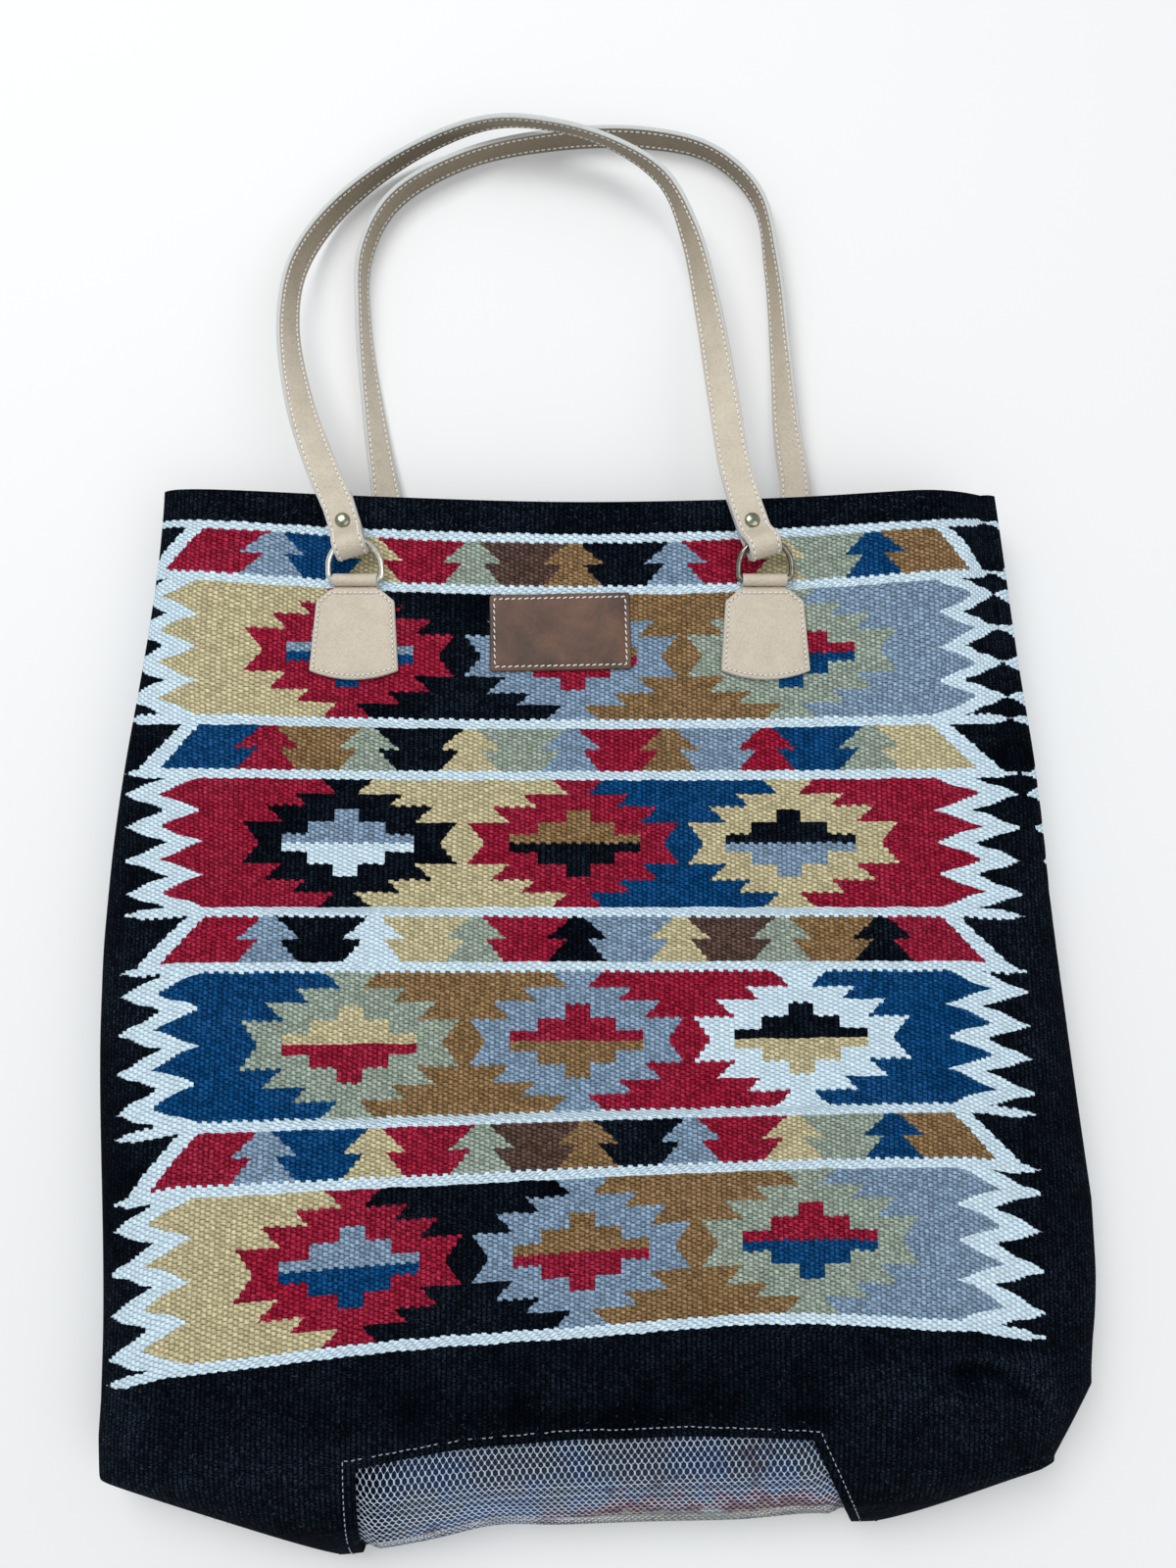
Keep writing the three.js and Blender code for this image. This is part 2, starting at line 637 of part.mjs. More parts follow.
const sets = [
  ["front", 1, FRONT_TABS, FRONT_ROUTE, [18, 18]],
  ["back", -1, BACK_TABS, BACK_ROUTE, [18, 0]],
];
for (const [name, side, tabs, route, leans] of sets) {
  const { strap, rivets } = strapAndRivets(tabs, side, route, leans);
  add(name + "_strap", strap, leather(name + "_strap_leather"));
  ["left", "right"].forEach((hand, i) => {
    add(name + "_" + hand + "_tab", tab(tabs[i], side), leather(name + "_" + hand + "_tab_leather"));
    add(name + "_" + hand + "_ring", ring(tabs[i], side), metal(name + "_" + hand + "_ring_brass"));
    add(name + "_" + hand + "_rivet", rivets[i], metal(name + "_" + hand + "_rivet_brass"));
  });
}

export default bag;
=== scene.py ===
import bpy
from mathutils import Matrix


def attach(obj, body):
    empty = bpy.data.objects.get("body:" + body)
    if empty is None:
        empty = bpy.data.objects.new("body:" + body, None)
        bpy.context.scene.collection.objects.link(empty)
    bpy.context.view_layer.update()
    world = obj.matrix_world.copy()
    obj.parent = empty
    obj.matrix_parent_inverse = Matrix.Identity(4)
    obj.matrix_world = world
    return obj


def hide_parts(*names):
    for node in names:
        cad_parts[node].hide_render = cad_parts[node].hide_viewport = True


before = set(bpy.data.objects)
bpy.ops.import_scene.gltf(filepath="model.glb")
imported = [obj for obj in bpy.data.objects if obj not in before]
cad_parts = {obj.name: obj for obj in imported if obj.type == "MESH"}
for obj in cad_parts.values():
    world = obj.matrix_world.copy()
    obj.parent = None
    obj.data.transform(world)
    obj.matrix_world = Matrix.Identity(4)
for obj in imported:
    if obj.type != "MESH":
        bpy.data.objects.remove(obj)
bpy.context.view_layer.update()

import functools
import math
import random

import bpy
import numpy as np

# A flat-woven tote bag lying on its back. Sizes are millimetres until a mesh is made.
MM = 0.001
rng = random.Random(7)

# Bag body, as it lies: half widths, heights and the turns of the cloth.
CLOTH, CLOTH_BULGE, GAP, SEAM_GAP = 3.5, 0.9, 0.3, 0.6
MOUTH_Y, FACE, BASE_HALF = 226, 431, 70
BASE_Y = MOUTH_Y - FACE
FOLD_Y = BASE_Y - BASE_HALF
MOUTH_LEFT, WIDE_LEFT, BASE_LEFT, FOLD_LEFT = 212, 234, 224, 111
MOUTH_RIGHT, WIDE_RIGHT, BASE_RIGHT, FOLD_RIGHT = 218, 252, 247, 146
FRONT_Z, BELLY_Z, BACK_LIFT, FOLD_Z = 46, 50, 17.8, 12
LIFT_FROM, LIFT_TO = 0.28, 0.5
FLAT_SHARE, SHOULDER = 0.64, 2.4
MOUTH_DIP, BASE_SKEW, FOLD_SKEW = 7, 12, 7.5
SEAM_ROLL, SEAM_TUCK = 13, 4
WINDOW_TOP, WINDOW_LEFT, WINDOW_RIGHT, WINDOW_FLARE = -221, 100, 110, 24

# Fittings.
WIRE, RING_WIDTH, RING_HEIGHT, RING_CORNER, RING_TILT = 3, 26.5, 19.5, 3.2, 17
BAR_Y = 181.5
TAB_LEATHER, TAB_LOOP, TAB_TOP, TAB_SHOULDER, TAB_BOTTOM = 1.3, 22, 25, 39, 44
TAB_LENGTH, TAB_SAG, TAB_START, TAB_SLOPE = 45.8, 4.5, 4.5, 10.5
FRONT_TABS, BACK_TABS = (-108.5, 95.5), (-88.5, 115.5)
LABEL, LABEL_AT, LABEL_TURN = (70, 39, 1.6), (-6.3, 155.5), 1.2
STRAP_WIDTH, STRAP = 16, 2.6
# A strap's sewn lines: in from its edges, further in where it stands on edge, and sunk into the leather.
STRAP_SEWN, LOWER_DRIFT, UPPER_DRIFT, STRAP_SINK = 1.75, 1.2, 0.35, 0.42
LOOP_ROOM, LOOP_BACK, LOOP_RISE, LOOP_SHIFT = 4.2, 2.2, 1.5, 2.6
PINCH, TAIL, FACE_END, FLAT_LIFT = 7.5, 27, 20, 1.3
RIVET_AT, RIVET_CAP, RIVET_DOME, RIVET_RIM, RIVET_POST = 11.6, 3.8, 1.5, 0.35, 1.3
# Heights over which the straps grow into painted shade towards the tops of the handles.
TOP_SHADE_FROM, TOP_SHADE_TO = 290, 450
# Pitch, length and thickness of stitches.
STRAP_STITCH, TAB_STITCH = (3.3, 2.8, 0.95), (2.6, 1.6, 0.95)
LABEL_STITCH, WINDOW_STITCH = (3.2, 2.5, 0.7), (3.2, 1.9, 0.5)
TAB_EYE = WIRE / 2 + GAP + TAB_LEATHER
FRONT_FACE = FRONT_Z + GAP
FRONT_BAR = FRONT_FACE + GAP + TAB_EYE
BACK_BAR = BACK_LIFT - GAP - TAB_EYE

# Woven pattern: rows down the face from the mouth, columns out from its middle.
WARP, BEAD = 2.4, 2.15
FIRST_STRIPE, REPEAT, NARROW, STRIPE = 22, 95, 27, 4.7
WIDE_MID, WIDE_HALF = 61, 31.75
DIAMOND_PITCH, TREE_PITCH = 108, 49.5
PATTERN_HALF = 222
BACK_PATTERN = 219
STRIPES_AT = (22, 49, 117, 142.5, 209, 235, 305, 331, 402)
ROW_BOW, ROW_HUMP, ROW_DROOP, HEM_DIP, MOUTH_DROOP = 6, 3.5, 0.15, 3, 3.5
LEFT_PULL, RIGHT_PULL, FIELD_EDGE = 9, 4, 200
# Where the ends are pulled about, down from the mouth and out from the middle.
LEFT_PULL_END, LEFT_PULL_OVER, LEFT_PULL_OUT, LEFT_PULL_IN = 200, 110, 150, 40
RIGHT_PULL_END, RIGHT_PULL_OVER, RIGHT_PULL_AT, RIGHT_PULL_SHARE = 120, 30, (150, 183, 201), (0, 1, 0.3)
# Where rows bow, hump and droop: down from the mouth, and across in millimetres or as a share.
BOW_OVER, BOW_END, BOW_FADE = 22, 130, 80
HUMP_FROM, HUMP_OVER, HUMP_AT, HUMP_HALF = 300, 100, 0.38, 0.22
DROOP_OUT, DROOP_FROM, DROOP_OVER = 186, 150, 150
MOUTH_DROOP_FROM = 0.78
# Ends of the bands along a saw tooth or a slant: how far they grow and where they start.
FIELD_TOOTH, WHITE_TOOTH = (22.5, 178.5), (24.5, 197)
FIELD_SLANT, WHITE_SLANT = (26, 176), (30, 184.5)
STRIPE_POINT, CRAMP = 5, 3.5
# A diamond: half its width, the height of each tier and how far the next steps in, its flare, and its cross.
DIAMOND_HALF, DIAMOND_TIERS, DIAMOND_SHIFT = 43.6, ((10.3, 11.6), (8, 12.2), (6.1, 15)), 1
FLARE, MORE_FLARE = 0.78, 0.32
CROSS_TIERS = ((4.5, 12.6), (10.4, 12.7), (16.7, 6.3))
# Half width of a tree along its upper and lower tier: how far it grows and where it starts.
UPPER_TIER, LOWER_TIER = (12.2, 2.8), (9.4, 5)
# How far the left, middle and right motifs of each band stand to the right of their even places.
WANDER = (
    (-2, 0, 4),
    (-5.5, -1, -1),
    (-2, -0.5, -4),
    (-4, 2, -4),
    (3, 2.3, 2),
    (1.3, 1.5, 0),
    (6, 7.7, 5),
    (4.7, 3.7, 2.3),
)


def mix(a, b, t):
    return a + (b - a) * t


def clamp(x, low=0.0, high=1.0):
    return min(high, max(low, x))


def part(x):
    """An array held between 0 and 1."""
    return np.clip(x, 0, 1)


def ease(a, b, x):
    t = clamp((x - a) / (b - a))
    return t * t * (3 - 2 * t)


# Materials


class Wire:
    """A value in a material. Arithmetic on it adds the nodes that work it out."""

    def __init__(self, tree, socket):
        self.tree = tree
        self.socket = socket

    def node(self, kind, settings=None, out=0, **inputs):
        """A node of any kind, from its settings and its inputs by name, or by number after an underscore."""
        made = self.tree.nodes.new(kind)
        for name, value in (settings or {}).items():
            setattr(made, name, value)
        for name, value in inputs.items():
            key = int(name[1:]) if name[0] == "_" else name.replace("_", " ")
            if isinstance(value, Wire):
                self.tree.links.new(value.socket, made.inputs[key])
            else:
                made.inputs[key].default_value = value
        return Wire(self.tree, made.outputs[out])

    def math(self, operation, *others):
        values = {"_" + str(i): v for i, v in enumerate((self, *others))}
        return self.node("ShaderNodeMath", {"operation": operation}, **values)

    def __neg__(self):
        return self * -1

    def __rsub__(self, other):
        return -self + other

    def limited(self, low=0.0, high=1.0):
        return self.most(low).least(high)

    def line(self, slope, start):
        return self * slope + start

    def parts(self):
        first = self.node("ShaderNodeSeparateXYZ", _0=self)
        return [Wire(self.tree, socket) for socket in first.socket.node.outputs]

    def mark(self, name, out="Fac"):
        """A value that the mesh carries at its points."""
        return self.node("ShaderNodeAttribute", {"attribute_name": name}, out)

    def choose(self, off, on):
        """The colour off where this value is 0, on where it is 1."""
        return self.node("ShaderNodeMix", {"data_type": "RGBA"}, 2, _0=self, _6=off, _7=on)

    def choose_value(self, off, on):
        return self.node("ShaderNodeMix", {"data_type": "FLOAT"}, 0, _0=self, _2=off, _3=on)

    def steps(self, colours):
        """One flat colour for each whole number from 0."""
        made = self.node("ShaderNodeValToRGB", _0=(self + 0.5) / len(colours))
        ramp = made.socket.node.color_ramp
        ramp.interpolation = "CONSTANT"
        while len(ramp.elements) < len(colours):
            ramp.elements.new(1.0)
        for i, tone in enumerate(colours):
            ramp.elements[i].position = i / len(colours)
            ramp.elements[i].color = tone
        return made


# The arithmetic of Wire: each method and the operation of the math node that it adds.
OPERATIONS = {
    "__add__": "ADD",
    "__radd__": "ADD",
    "__sub__": "SUBTRACT",
    "__mul__": "MULTIPLY",
    "__rmul__": "MULTIPLY",
    "__truediv__": "DIVIDE",
    "__pow__": "POWER",
    "__lt__": "LESS_THAN",
    "__gt__": "GREATER_THAN",
    "__abs__": "ABSOLUTE",
    "floor": "FLOOR",
    "fract": "FRACT",
    "least": "MINIMUM",
    "most": "MAXIMUM",
}
for method, operation in OPERATIONS.items():
    setattr(Wire, method, functools.partialmethod(Wire.math, operation))


def colour(code):
    """A linear colour from its screen code."""
    parts = [int(code[i : i + 2], 16) / 255 for i in (0, 2, 4)]
    return tuple(c / 12.92 if c < 0.04045 else ((c + 0.055) / 1.055) ** 2.4 for c in parts) + (1.0,)


def start_material(name, **constants):
    """A material, its surface shader, and a first value to build others from."""
    material = bpy.data.materials.new(name)
    material.use_nodes = True
    tree = material.node_tree
    shader = tree.nodes["Principled BSDF"]
    for key, value in constants.items():
        shader.inputs[key.replace("_", " ")].default_value = value
    return material, shader, Wire(tree, None).node("ShaderNodeTexCoord", out="Object")


def feed(shader, **values):
    for key, value in values.items():
        value.tree.links.new(value.socket, shader.inputs[key.replace("_", " ")])


def noise(place, scale, detail=3.0, roughness=0.55):
    return place.node("ShaderNodeTexNoise", Vector=place, Scale=scale, Detail=detail, Roughness=roughness)


def bump(height, distance):
    return height.node("ShaderNodeBump", Height=height, Distance=distance * MM, Strength=1.0)


def shaded(tone, red, green, blue):
    """A colour times its light."""
    tint = red.node("ShaderNodeCombineColor", _0=red, _1=green, _2=blue)
    settings = {"data_type": "RGBA", "blend_type": "MULTIPLY"}
    return red.node("ShaderNodeMix", settings, 2, _0=1.0, _6=tone, _7=tint)


def darker(tone, share):
    return tuple(c * share for c in tone[:3]) + (1.0,)


YARN = {
    "black": colour("010308"),
    "white": colour("cee3ef"),
    "red": colour("8b162e"),
    "blue": colour("043b69"),
    "gold": colour("bbb08a"),
    "ochre": colour("806543"),
    "brown": colour("503c33"),
    "sage": colour("8f9b8d"),
    "grey": colour("7a90a6"),
}

# Each wide band from the left: field, then diamond with the upper and lower half of its cross, and so on.
WIDE_BANDS = (
    "gold red/grey/blue black grey/ochre/red ochre sage/red/blue grey",
    "red black/grey/white gold red/ochre/black blue gold/black/grey red",
    "blue sage/gold/red ochre grey/red/ochre red white/black/gold blue",
    "gold red/grey/blue black grey/ochre/red ochre sage/red/blue grey",
)
# Each narrow band from the left: block, tree, block, tree, and so on.
NARROW_BANDS = (
    "red grey blue gold red sage brown ochre black grey red gold sage blue ochre",
    "blue red ochre sage black gold sage grey red ochre grey red blue sage gold",
    "red grey black white gold sage red black grey gold brown sage ochre black red",
    "red grey blue gold red sage brown ochre black grey red gold sage blue ochre",
)


# Wool: how far its rows wobble, the painted shade on its beads and in the gaps round them, how its fibres
# vary it, and its pale fluff, which also carries painted sheen, under painted light and shade.
WOBBLE, WOBBLE_SIZE, BEAD_SLANT = 1.6, 0.09, 0.08
DOME_SHADE, CHANCE_SHADE, FIBRE_SHADE, LEAST_FIBRE = (1.1, 0.3), (0.5, 0.75), (3.2, -0.6), 0.3
GAP_SHADE, GAP_SHADE_FADE, DARKEST = 1.28, 1.25, 0.05
FLUFF_FROM, FLUFF_GAIN, FLUFF_MOST, FLUFF_CHANCE, FLUFF = 0.42, 0.34, 0.16, (0.7, 0.3), colour("8facd0")
LIT, LIT_SIZE, LIT_RANGE, DENT_LIGHT_GAIN = (3.4, -0.7), 0.025, (0.1, 2.2), 1.4
FIBRE_STRETCH, WOOL_BUMP = (0.75, 1.5, 1.0), 0.9


def kilim(name):
    """Weft-faced wool: beads of yarn in staggered columns, coloured by stripes, diamonds and trees."""
    material, shader, start = start_material(name, Roughness=0.95, Specular_IOR_Level=0.02)
    weave = start.mark("weave", "Vector")
    across, down, _ = weave.parts()
    column = (across / WARP).floor()
    shift = (column * 0.5).fract()
    bead_x = (across / WARP).fract() * 2 - 1
    wobble = down + noise(weave, WOBBLE_SIZE, 1.0) * WOBBLE - WOBBLE / 2
    pick = wobble / BEAD + shift - bead_x * BEAD_SLANT
    row = pick.floor()
    bead_y = pick.fract() * 2 - 1
    v = (row + 0.5 - shift) * BEAD
    below = v - FIRST_STRIPE
    repeat = (below / REPEAT).floor()
    rise = below - repeat * REPEAT
    band = repeat.limited(0, 3)
    narrow = rise < NARROW

    # Edges step half as far as the beads do, because the yarns of two colours interlock there.
    p = ((column + 0.5) * WARP + across) * 0.5
    v = (v + wobble) * 0.5
    rise = v - FIRST_STRIPE - repeat * REPEAT
    out = abs(p)
    nearest = abs(rise).least(abs(rise - NARROW)).least(abs(rise - REPEAT))
    stripe = nearest < STRIPE / 2
    in_pattern = (v > FIRST_STRIPE - STRIPE / 2) * (v < FIRST_STRIPE + 4 * REPEAT + STRIPE / 2)

    # The ends: saw teeth on the wide bands, slants on the narrow ones, points on the stripes.
    from_mid = rise - WIDE_MID
    tooth = 1 - abs(((from_mid + WIDE_HALF) / (WIDE_HALF / 2)).fract() * 2 - 1)
    slant = rise / NARROW
    field_end = narrow.choose_value(tooth.line(*FIELD_TOOTH), slant.line(*FIELD_SLANT))
    cramped = (p > 0) * (band < 0.5) * CRAMP
    white_tooth = tooth * (WHITE_TOOTH[0] + cramped) + WHITE_TOOTH[1] - cramped
    white_end = narrow.choose_value(white_tooth, slant.line(*WHITE_SLANT))
    stripe_end = PATTERN_HALF - nearest * STRIPE_POINT

    ground, diamond, upper, lower = [], [], [], []
    for words in WIDE_BANDS:
        pieces = words.split()
        ground += [YARN[w] for w in pieces[0::2]]
        for words_of_one in pieces[1::2]:
            outer, top, bottom = words_of_one.split("/")
            diamond.append(YARN[outer])
            upper.append(YARN[top])
            lower.append(YARN[bottom])
    block = [YARN[w] for words in NARROW_BANDS for w in words.split()[0::2]]
    tree = [YARN[w] for words in NARROW_BANDS for w in words.split()[1::2]]

    field = ((p / DIAMOND_PITCH).floor() + 2).limited(0, 3)
    which = (p / DIAMOND_PITCH + 0.5).floor().limited(-1, 1)
    aside = abs(p - which * DIAMOND_PITCH - DIAMOND_SHIFT)
    away = abs(from_mid)
    past, top, along_tier, tier_half = [], 0, away, DIAMOND_HALF
    for high, step in DIAMOND_TIERS:
        top += high
        past.append(away > top)
        along_tier = along_tier - past[-1] * high
        tier_half = tier_half - past[-1] * step
    in_diamond = aside < tier_half + along_tier * (past[0] * MORE_FLARE + FLARE)
    in_cross = aside < sum((away < top) * half for top, half in CROSS_TIERS)
    picture = (band * 4 + field).steps(ground)
    number = band * 3 + which + 1
    picture = in_diamond.choose(picture, number.steps(diamond))
    cross = (from_mid > 0).choose(number.steps(upper), number.steps(lower))
    picture = in_cross.choose(picture, cross)

    block_number = (p / TREE_PITCH).floor().limited(-4, 3) + 4
    tree_number = (p / TREE_PITCH + 0.5).floor().limited(-3, 3)
    tier = ((rise - STRIPE / 2) / ((NARROW - STRIPE) / 2)).fract()
    branch = (rise > NARROW / 2).choose_value(tier.line(*UPPER_TIER), tier.line(*LOWER_TIER))
    in_tree = abs(p - tree_number * TREE_PITCH) < branch
    trees = in_tree.choose((band * 8 + block_number).steps(block), (band * 7 + tree_number + 3).steps(tree))
    picture = narrow.choose(picture, trees)

    in_field = (out < field_end) * (1 - stripe)
    in_white = (1 - stripe) * (out < white_end) + stripe * (out < stripe_end)
    yarn = in_field.choose(YARN["white"], picture)
    yarn = (in_pattern * in_white).choose(YARN["black"], yarn)

    # Each bead is lighter or darker than its neighbours, with painted shade on its rounded sides and in the
    # gaps round it, less of it on pale yarn.
    bead = column.node("ShaderNodeCombineXYZ", _0=column, _1=row, _2=0.0)
    chance = column.node("ShaderNodeTexWhiteNoise", {"noise_dimensions": "2D"}, "Value", Vector=bead)
    stretched = weave.node("ShaderNodeVectorMath", {"operation": "MULTIPLY"}, _0=weave, _1=FIBRE_STRETCH)
    fibre = noise(stretched, 1.0, 3.0, 0.65)
    dome = (1 - bead_y * bead_y).most(0.0) ** 0.5 * (1 - bead_x * bead_x * 0.55)
    depth = GAP_SHADE - yarn.node("ShaderNodeRGBToBW", Color=yarn) * GAP_SHADE_FADE
    shade = dome.line(*DOME_SHADE) * chance.line(*CHANCE_SHADE) * fibre.line(*FIBRE_SHADE).most(LEAST_FIBRE)
    shade = (1 - (1 - shade) * depth).most(DARKEST)
    # The yarn under its painted shade, with its own tone from bead to bead.
    toned = shaded(yarn, shade, shade, shade)
    # Painted shade in the grooves between the columns, on the pale fluff.
    rib = 1 - bead_x * bead_x
    # Broad patches of painted light and shade, with those of the dents, make the pale fluff brighter or
    # fainter.
    lit = (noise(weave, LIT_SIZE, 2.0).line(*LIT) + start.mark("dent_light") * DENT_LIGHT_GAIN).limited(*LIT_RANGE)
    # The pale fluff of loose fibres, which also carries painted sheen.
    fluff = ((fibre - FLUFF_FROM) * FLUFF_GAIN).limited(0, FLUFF_MOST)
    fluff = fluff * chance.line(*FLUFF_CHANCE) * rib * lit
    feed(shader, Base_Color=fluff.choose(toned, FLUFF), Normal=bump(dome + fibre * 0.5, WOOL_BUMP))
    return material


# Leather: how many clouds, wrinkles, pebbles and stains to a metre, what each does, the painted shade along
# sewn lines, and the painted shade, browner, towards the tops of the handles.
CLOUDS, WRINKLES, PEBBLES, STAINS = 60.0, 170.0, 1050.0, 34.0
PEBBLE_BENDS, PEBBLE_BEND = 300.0, 0.0016
CLOUD_LIGHT, WRINKLE_LIGHT, PEBBLE_DARK, LEATHER_LIGHT = 0.26, 0.16, 0.25, 0.785
SEAM_SHADE, TOP_SHADE_DARK, TOP_SHADE_GREEN, TOP_SHADE_BLUE = 0.8, 0.62, 0.07, 0.2
LEATHER_BUMP = 0.9


def leather(name, tone, edge_tone, pebble, stain=None):
    """Grained leather: pale raw edges, painted shade along sewn lines and towards the tops of the handles,
    maybe stained.
    """
    material, shader, place = start_material(name, Specular_IOR_Level=0.35)
    rim, seam, top_shade = [place.mark(key) for key in ("rim", "seam", "top_shade")]
    wander = noise(place, PEBBLE_BENDS, 2.0)
    wander = place.node("ShaderNodeVectorMath", {"operation": "SCALE"}, _0=wander, Scale=PEBBLE_BEND)
    bent = place.node("ShaderNodeVectorMath", {"operation": "ADD"}, _0=place, _1=wander)
    cells = bent.node("ShaderNodeTexVoronoi", {"feature": "SMOOTH_F1"}, Vector=bent, Scale=PEBBLES)
    cloud = noise(place, CLOUDS, 4.0)
    wrinkle = noise(place, WRINKLES, 3.0, 0.6)
    light = cloud * CLOUD_LIGHT + wrinkle * WRINKLE_LIGHT + LEATHER_LIGHT - cells * PEBBLE_DARK
    # Painted shade: darker along sewn lines, and darker and browner towards the tops of the handles.
    light = light * (1 - seam * SEAM_SHADE) * (1 - top_shade * TOP_SHADE_DARK)
    if stain:
        patch = ((noise(place, STAINS, 5.0, 0.6) - 0.5) * 3.2 + 0.5).limited()
        tone = patch.choose(tone, stain)
    face = shaded(tone, light, light * (1 - top_shade * TOP_SHADE_GREEN), light * (1 - top_shade * TOP_SHADE_BLUE))
    feed(
        shader,
        Base_Color=rim.choose(face, edge_tone),
        Roughness=cloud * 0.25 + 0.42,
        Normal=bump(cloud * 0.2 - cells * pebble, LEATHER_BUMP),
    )
    return material


# Metal: clouds to a metre, their contrast, how dark its hollows are, and how rough it is, less where rubbed.
METAL_CLOUDS, METAL_CONTRAST, METAL_DARK, METAL_BUMP = 420.0, 2.4, 0.3, 0.06
METAL_ROUGH, METAL_RUBBED = 0.34, 0.22
THREAD_TWISTS, THREAD_TWIST_SHADE, THREAD_BUMP = 900.0, 0.72, 0.08


def antique(name, tone, wear):
    """Aged metal: dark in its scratches and hollows, brighter and smoother where it is rubbed."""
    material, shader, place = start_material(name, Metallic=1.0)
    cloud = noise(place, METAL_CLOUDS, 5.0, 0.65)
    rubbed = ((cloud - 0.5) * METAL_CONTRAST + wear).limited()
    toned = rubbed.choose(darker(tone, METAL_DARK), tone)
    rough = METAL_ROUGH - rubbed * METAL_RUBBED
    feed(shader, Base_Color=toned, Roughness=rough, Normal=bump(cloud, METAL_BUMP))
    return material


def thread(name, tone):
    """Twisted thread, with painted shade in the grooves of its twist."""
    material, shader, place = start_material(name, Specular_IOR_Level=0.3, Roughness=0.6)
    settings = {"bands_direction": "DIAGONAL"}
    twist = place.node("ShaderNodeTexWave", settings, 1, Vector=place, Scale=THREAD_TWISTS)
    feed(shader, Base_Color=twist.choose(darker(tone, THREAD_TWIST_SHADE), tone), Normal=bump(twist, THREAD_BUMP))
    return material


# Geometry


def add_piece(name, points, faces, material, body, marks=None, node=None):
    """A mesh from points in millimetres that rides on a body and may stand for a CAD node."""
    mesh = bpy.data.meshes.new(name)
    mesh.from_pydata((np.asarray(points, float) * MM).tolist(), [], [list(map(int, f)) for f in faces])
    for key, values in (marks or {}).items():
        values = np.asarray(values, np.float32)
        kind = "FLOAT" if values.ndim == 1 else "FLOAT_VECTOR"
        layer = mesh.attributes.new(key, kind, "POINT")
        layer.data.foreach_set("value" if kind == "FLOAT" else "vector", values.ravel())
    mesh.materials.append(material)
    mesh.shade_smooth()
    mesh.update()
    piece = bpy.data.objects.new(name, mesh)
    bpy.context.collection.objects.link(piece)
    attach(piece, body)
    if node:
        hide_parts(node)
    return piece


def measured(line):
    """Length along a line at each of its points."""
    return np.concatenate([[0], np.cumsum(np.linalg.norm(np.diff(line, axis=0), axis=1))])


def unit(vectors):
    vectors = np.asarray(vectors, float)
    return vectors / np.maximum(np.linalg.norm(vectors, axis=-1, keepdims=True), 1e-9)


def between(at, known, values):
    """Vectors at places between the known ones."""
    return np.stack([np.interp(at, known, row) for row in values.T], -1)


def turned(a, b, degrees):
    c, s = math.cos(math.radians(degrees)), math.sin(math.radians(degrees))
    return a * c - b * s, a * s + b * c


def tube(rings, sides, start=0):
    """Squares between rings of points that follow one another."""
    faces = []
    for i in range(rings - 1):
        for j in range(sides):
            a, b = start + i * sides + j, start + i * sides + (j + 1) % sides
            faces.append((a, b, b + sides, a + sides))
    return faces


def closed_tube(rings, sides, start=0):
    last = start + (rings - 1) * sides
    ends = [tuple(reversed(range(start, start + sides))), tuple(range(last, last + sides))]
    return tube(rings, sides, start) + ends


# Shares of the face between which its sides widen and close, its belly rises and its seams turn.
LEFT_WIDENS, LEFT_CLOSES, RIGHT_WIDENS, RIGHT_CLOSES = (0, 0.55), (0.6, 1), 0.82, (0.88, 1)
BELLY_RISES, LEAN_GROWS, SAG_FROM, SAG_OVER = (0.3, 0.9), (0.49, 0.9), 0.53, 0.4
ROLL_TURNS, TUCK_ENDS = (0.28, 0.64), (0.9, 1.0)
# Shares of the base at which its corners turn in, and the small first step of the right one.
LEFT_TURNS, RIGHT_TURNS, RIGHT_STEP, RIGHT_STEP_OVER = 0.32, 0.55, 0.16, 0.5


# The bag's outside, from k = 0 at the mouth to 1 at the base edge and 2 at the fold of the base.
def row_at(k):
    f = clamp(k)
    s = math.sin(clamp(k - 1) * math.pi / 2)
    skew = mix(BASE_SKEW, FOLD_SKEW, s)
    left = mix(mix(MOUTH_LEFT, WIDE_LEFT, ease(*LEFT_WIDENS, f)), BASE_LEFT, ease(*LEFT_CLOSES, f))
    right = mix(mix(MOUTH_RIGHT, WIDE_RIGHT, clamp(f / RIGHT_WIDENS)), BASE_RIGHT, ease(*RIGHT_CLOSES, f))
    in_left = clamp((s - LEFT_TURNS) / (1 - LEFT_TURNS))
    in_right = mix(clamp((s - RIGHT_TURNS) / (1 - RIGHT_TURNS)), clamp(s / RIGHT_STEP_OVER), RIGHT_STEP)
    top = mix(FRONT_Z, BELLY_Z, ease(*BELLY_RISES, f))
    bottom = BACK_LIFT * (1 - ease(LIFT_FROM, LIFT_TO, f))
    return {
        "y": mix(MOUTH_Y, BASE_Y, f) + (FOLD_Y - BASE_Y) * s,
        "dip": MOUTH_DIP * clamp(1 - 2 * f),
        "lean": skew * ease(*LEAN_GROWS, f),
        "sag": skew * clamp((f - SAG_FROM) / SAG_OVER) ** 3,
        "reach": {-1: mix(left, FOLD_LEFT, in_left), 1: mix(right, FOLD_RIGHT, in_right)},
        "top": FOLD_Z + (top - FOLD_Z) * math.sqrt(max(0, 1 - s * s)),
        "bottom": bottom + FOLD_Z * (1 - math.sqrt(max(0, 1 - s**8))),
        "middle": mix((top + bottom) / 2, FOLD_Z, s),
        "roll": {
            -1: mix(SEAM_TUCK, 0, ease(*TUCK_ENDS, f)),
            1: mix(mix(-SEAM_ROLL, SEAM_TUCK, ease(*ROLL_TURNS, f)), 0, ease(*TUCK_ENDS, f)),
        },
    }


SECTION_STEPS, SKIN_ROWS, SKIN_COLUMNS = 40, 500, 260


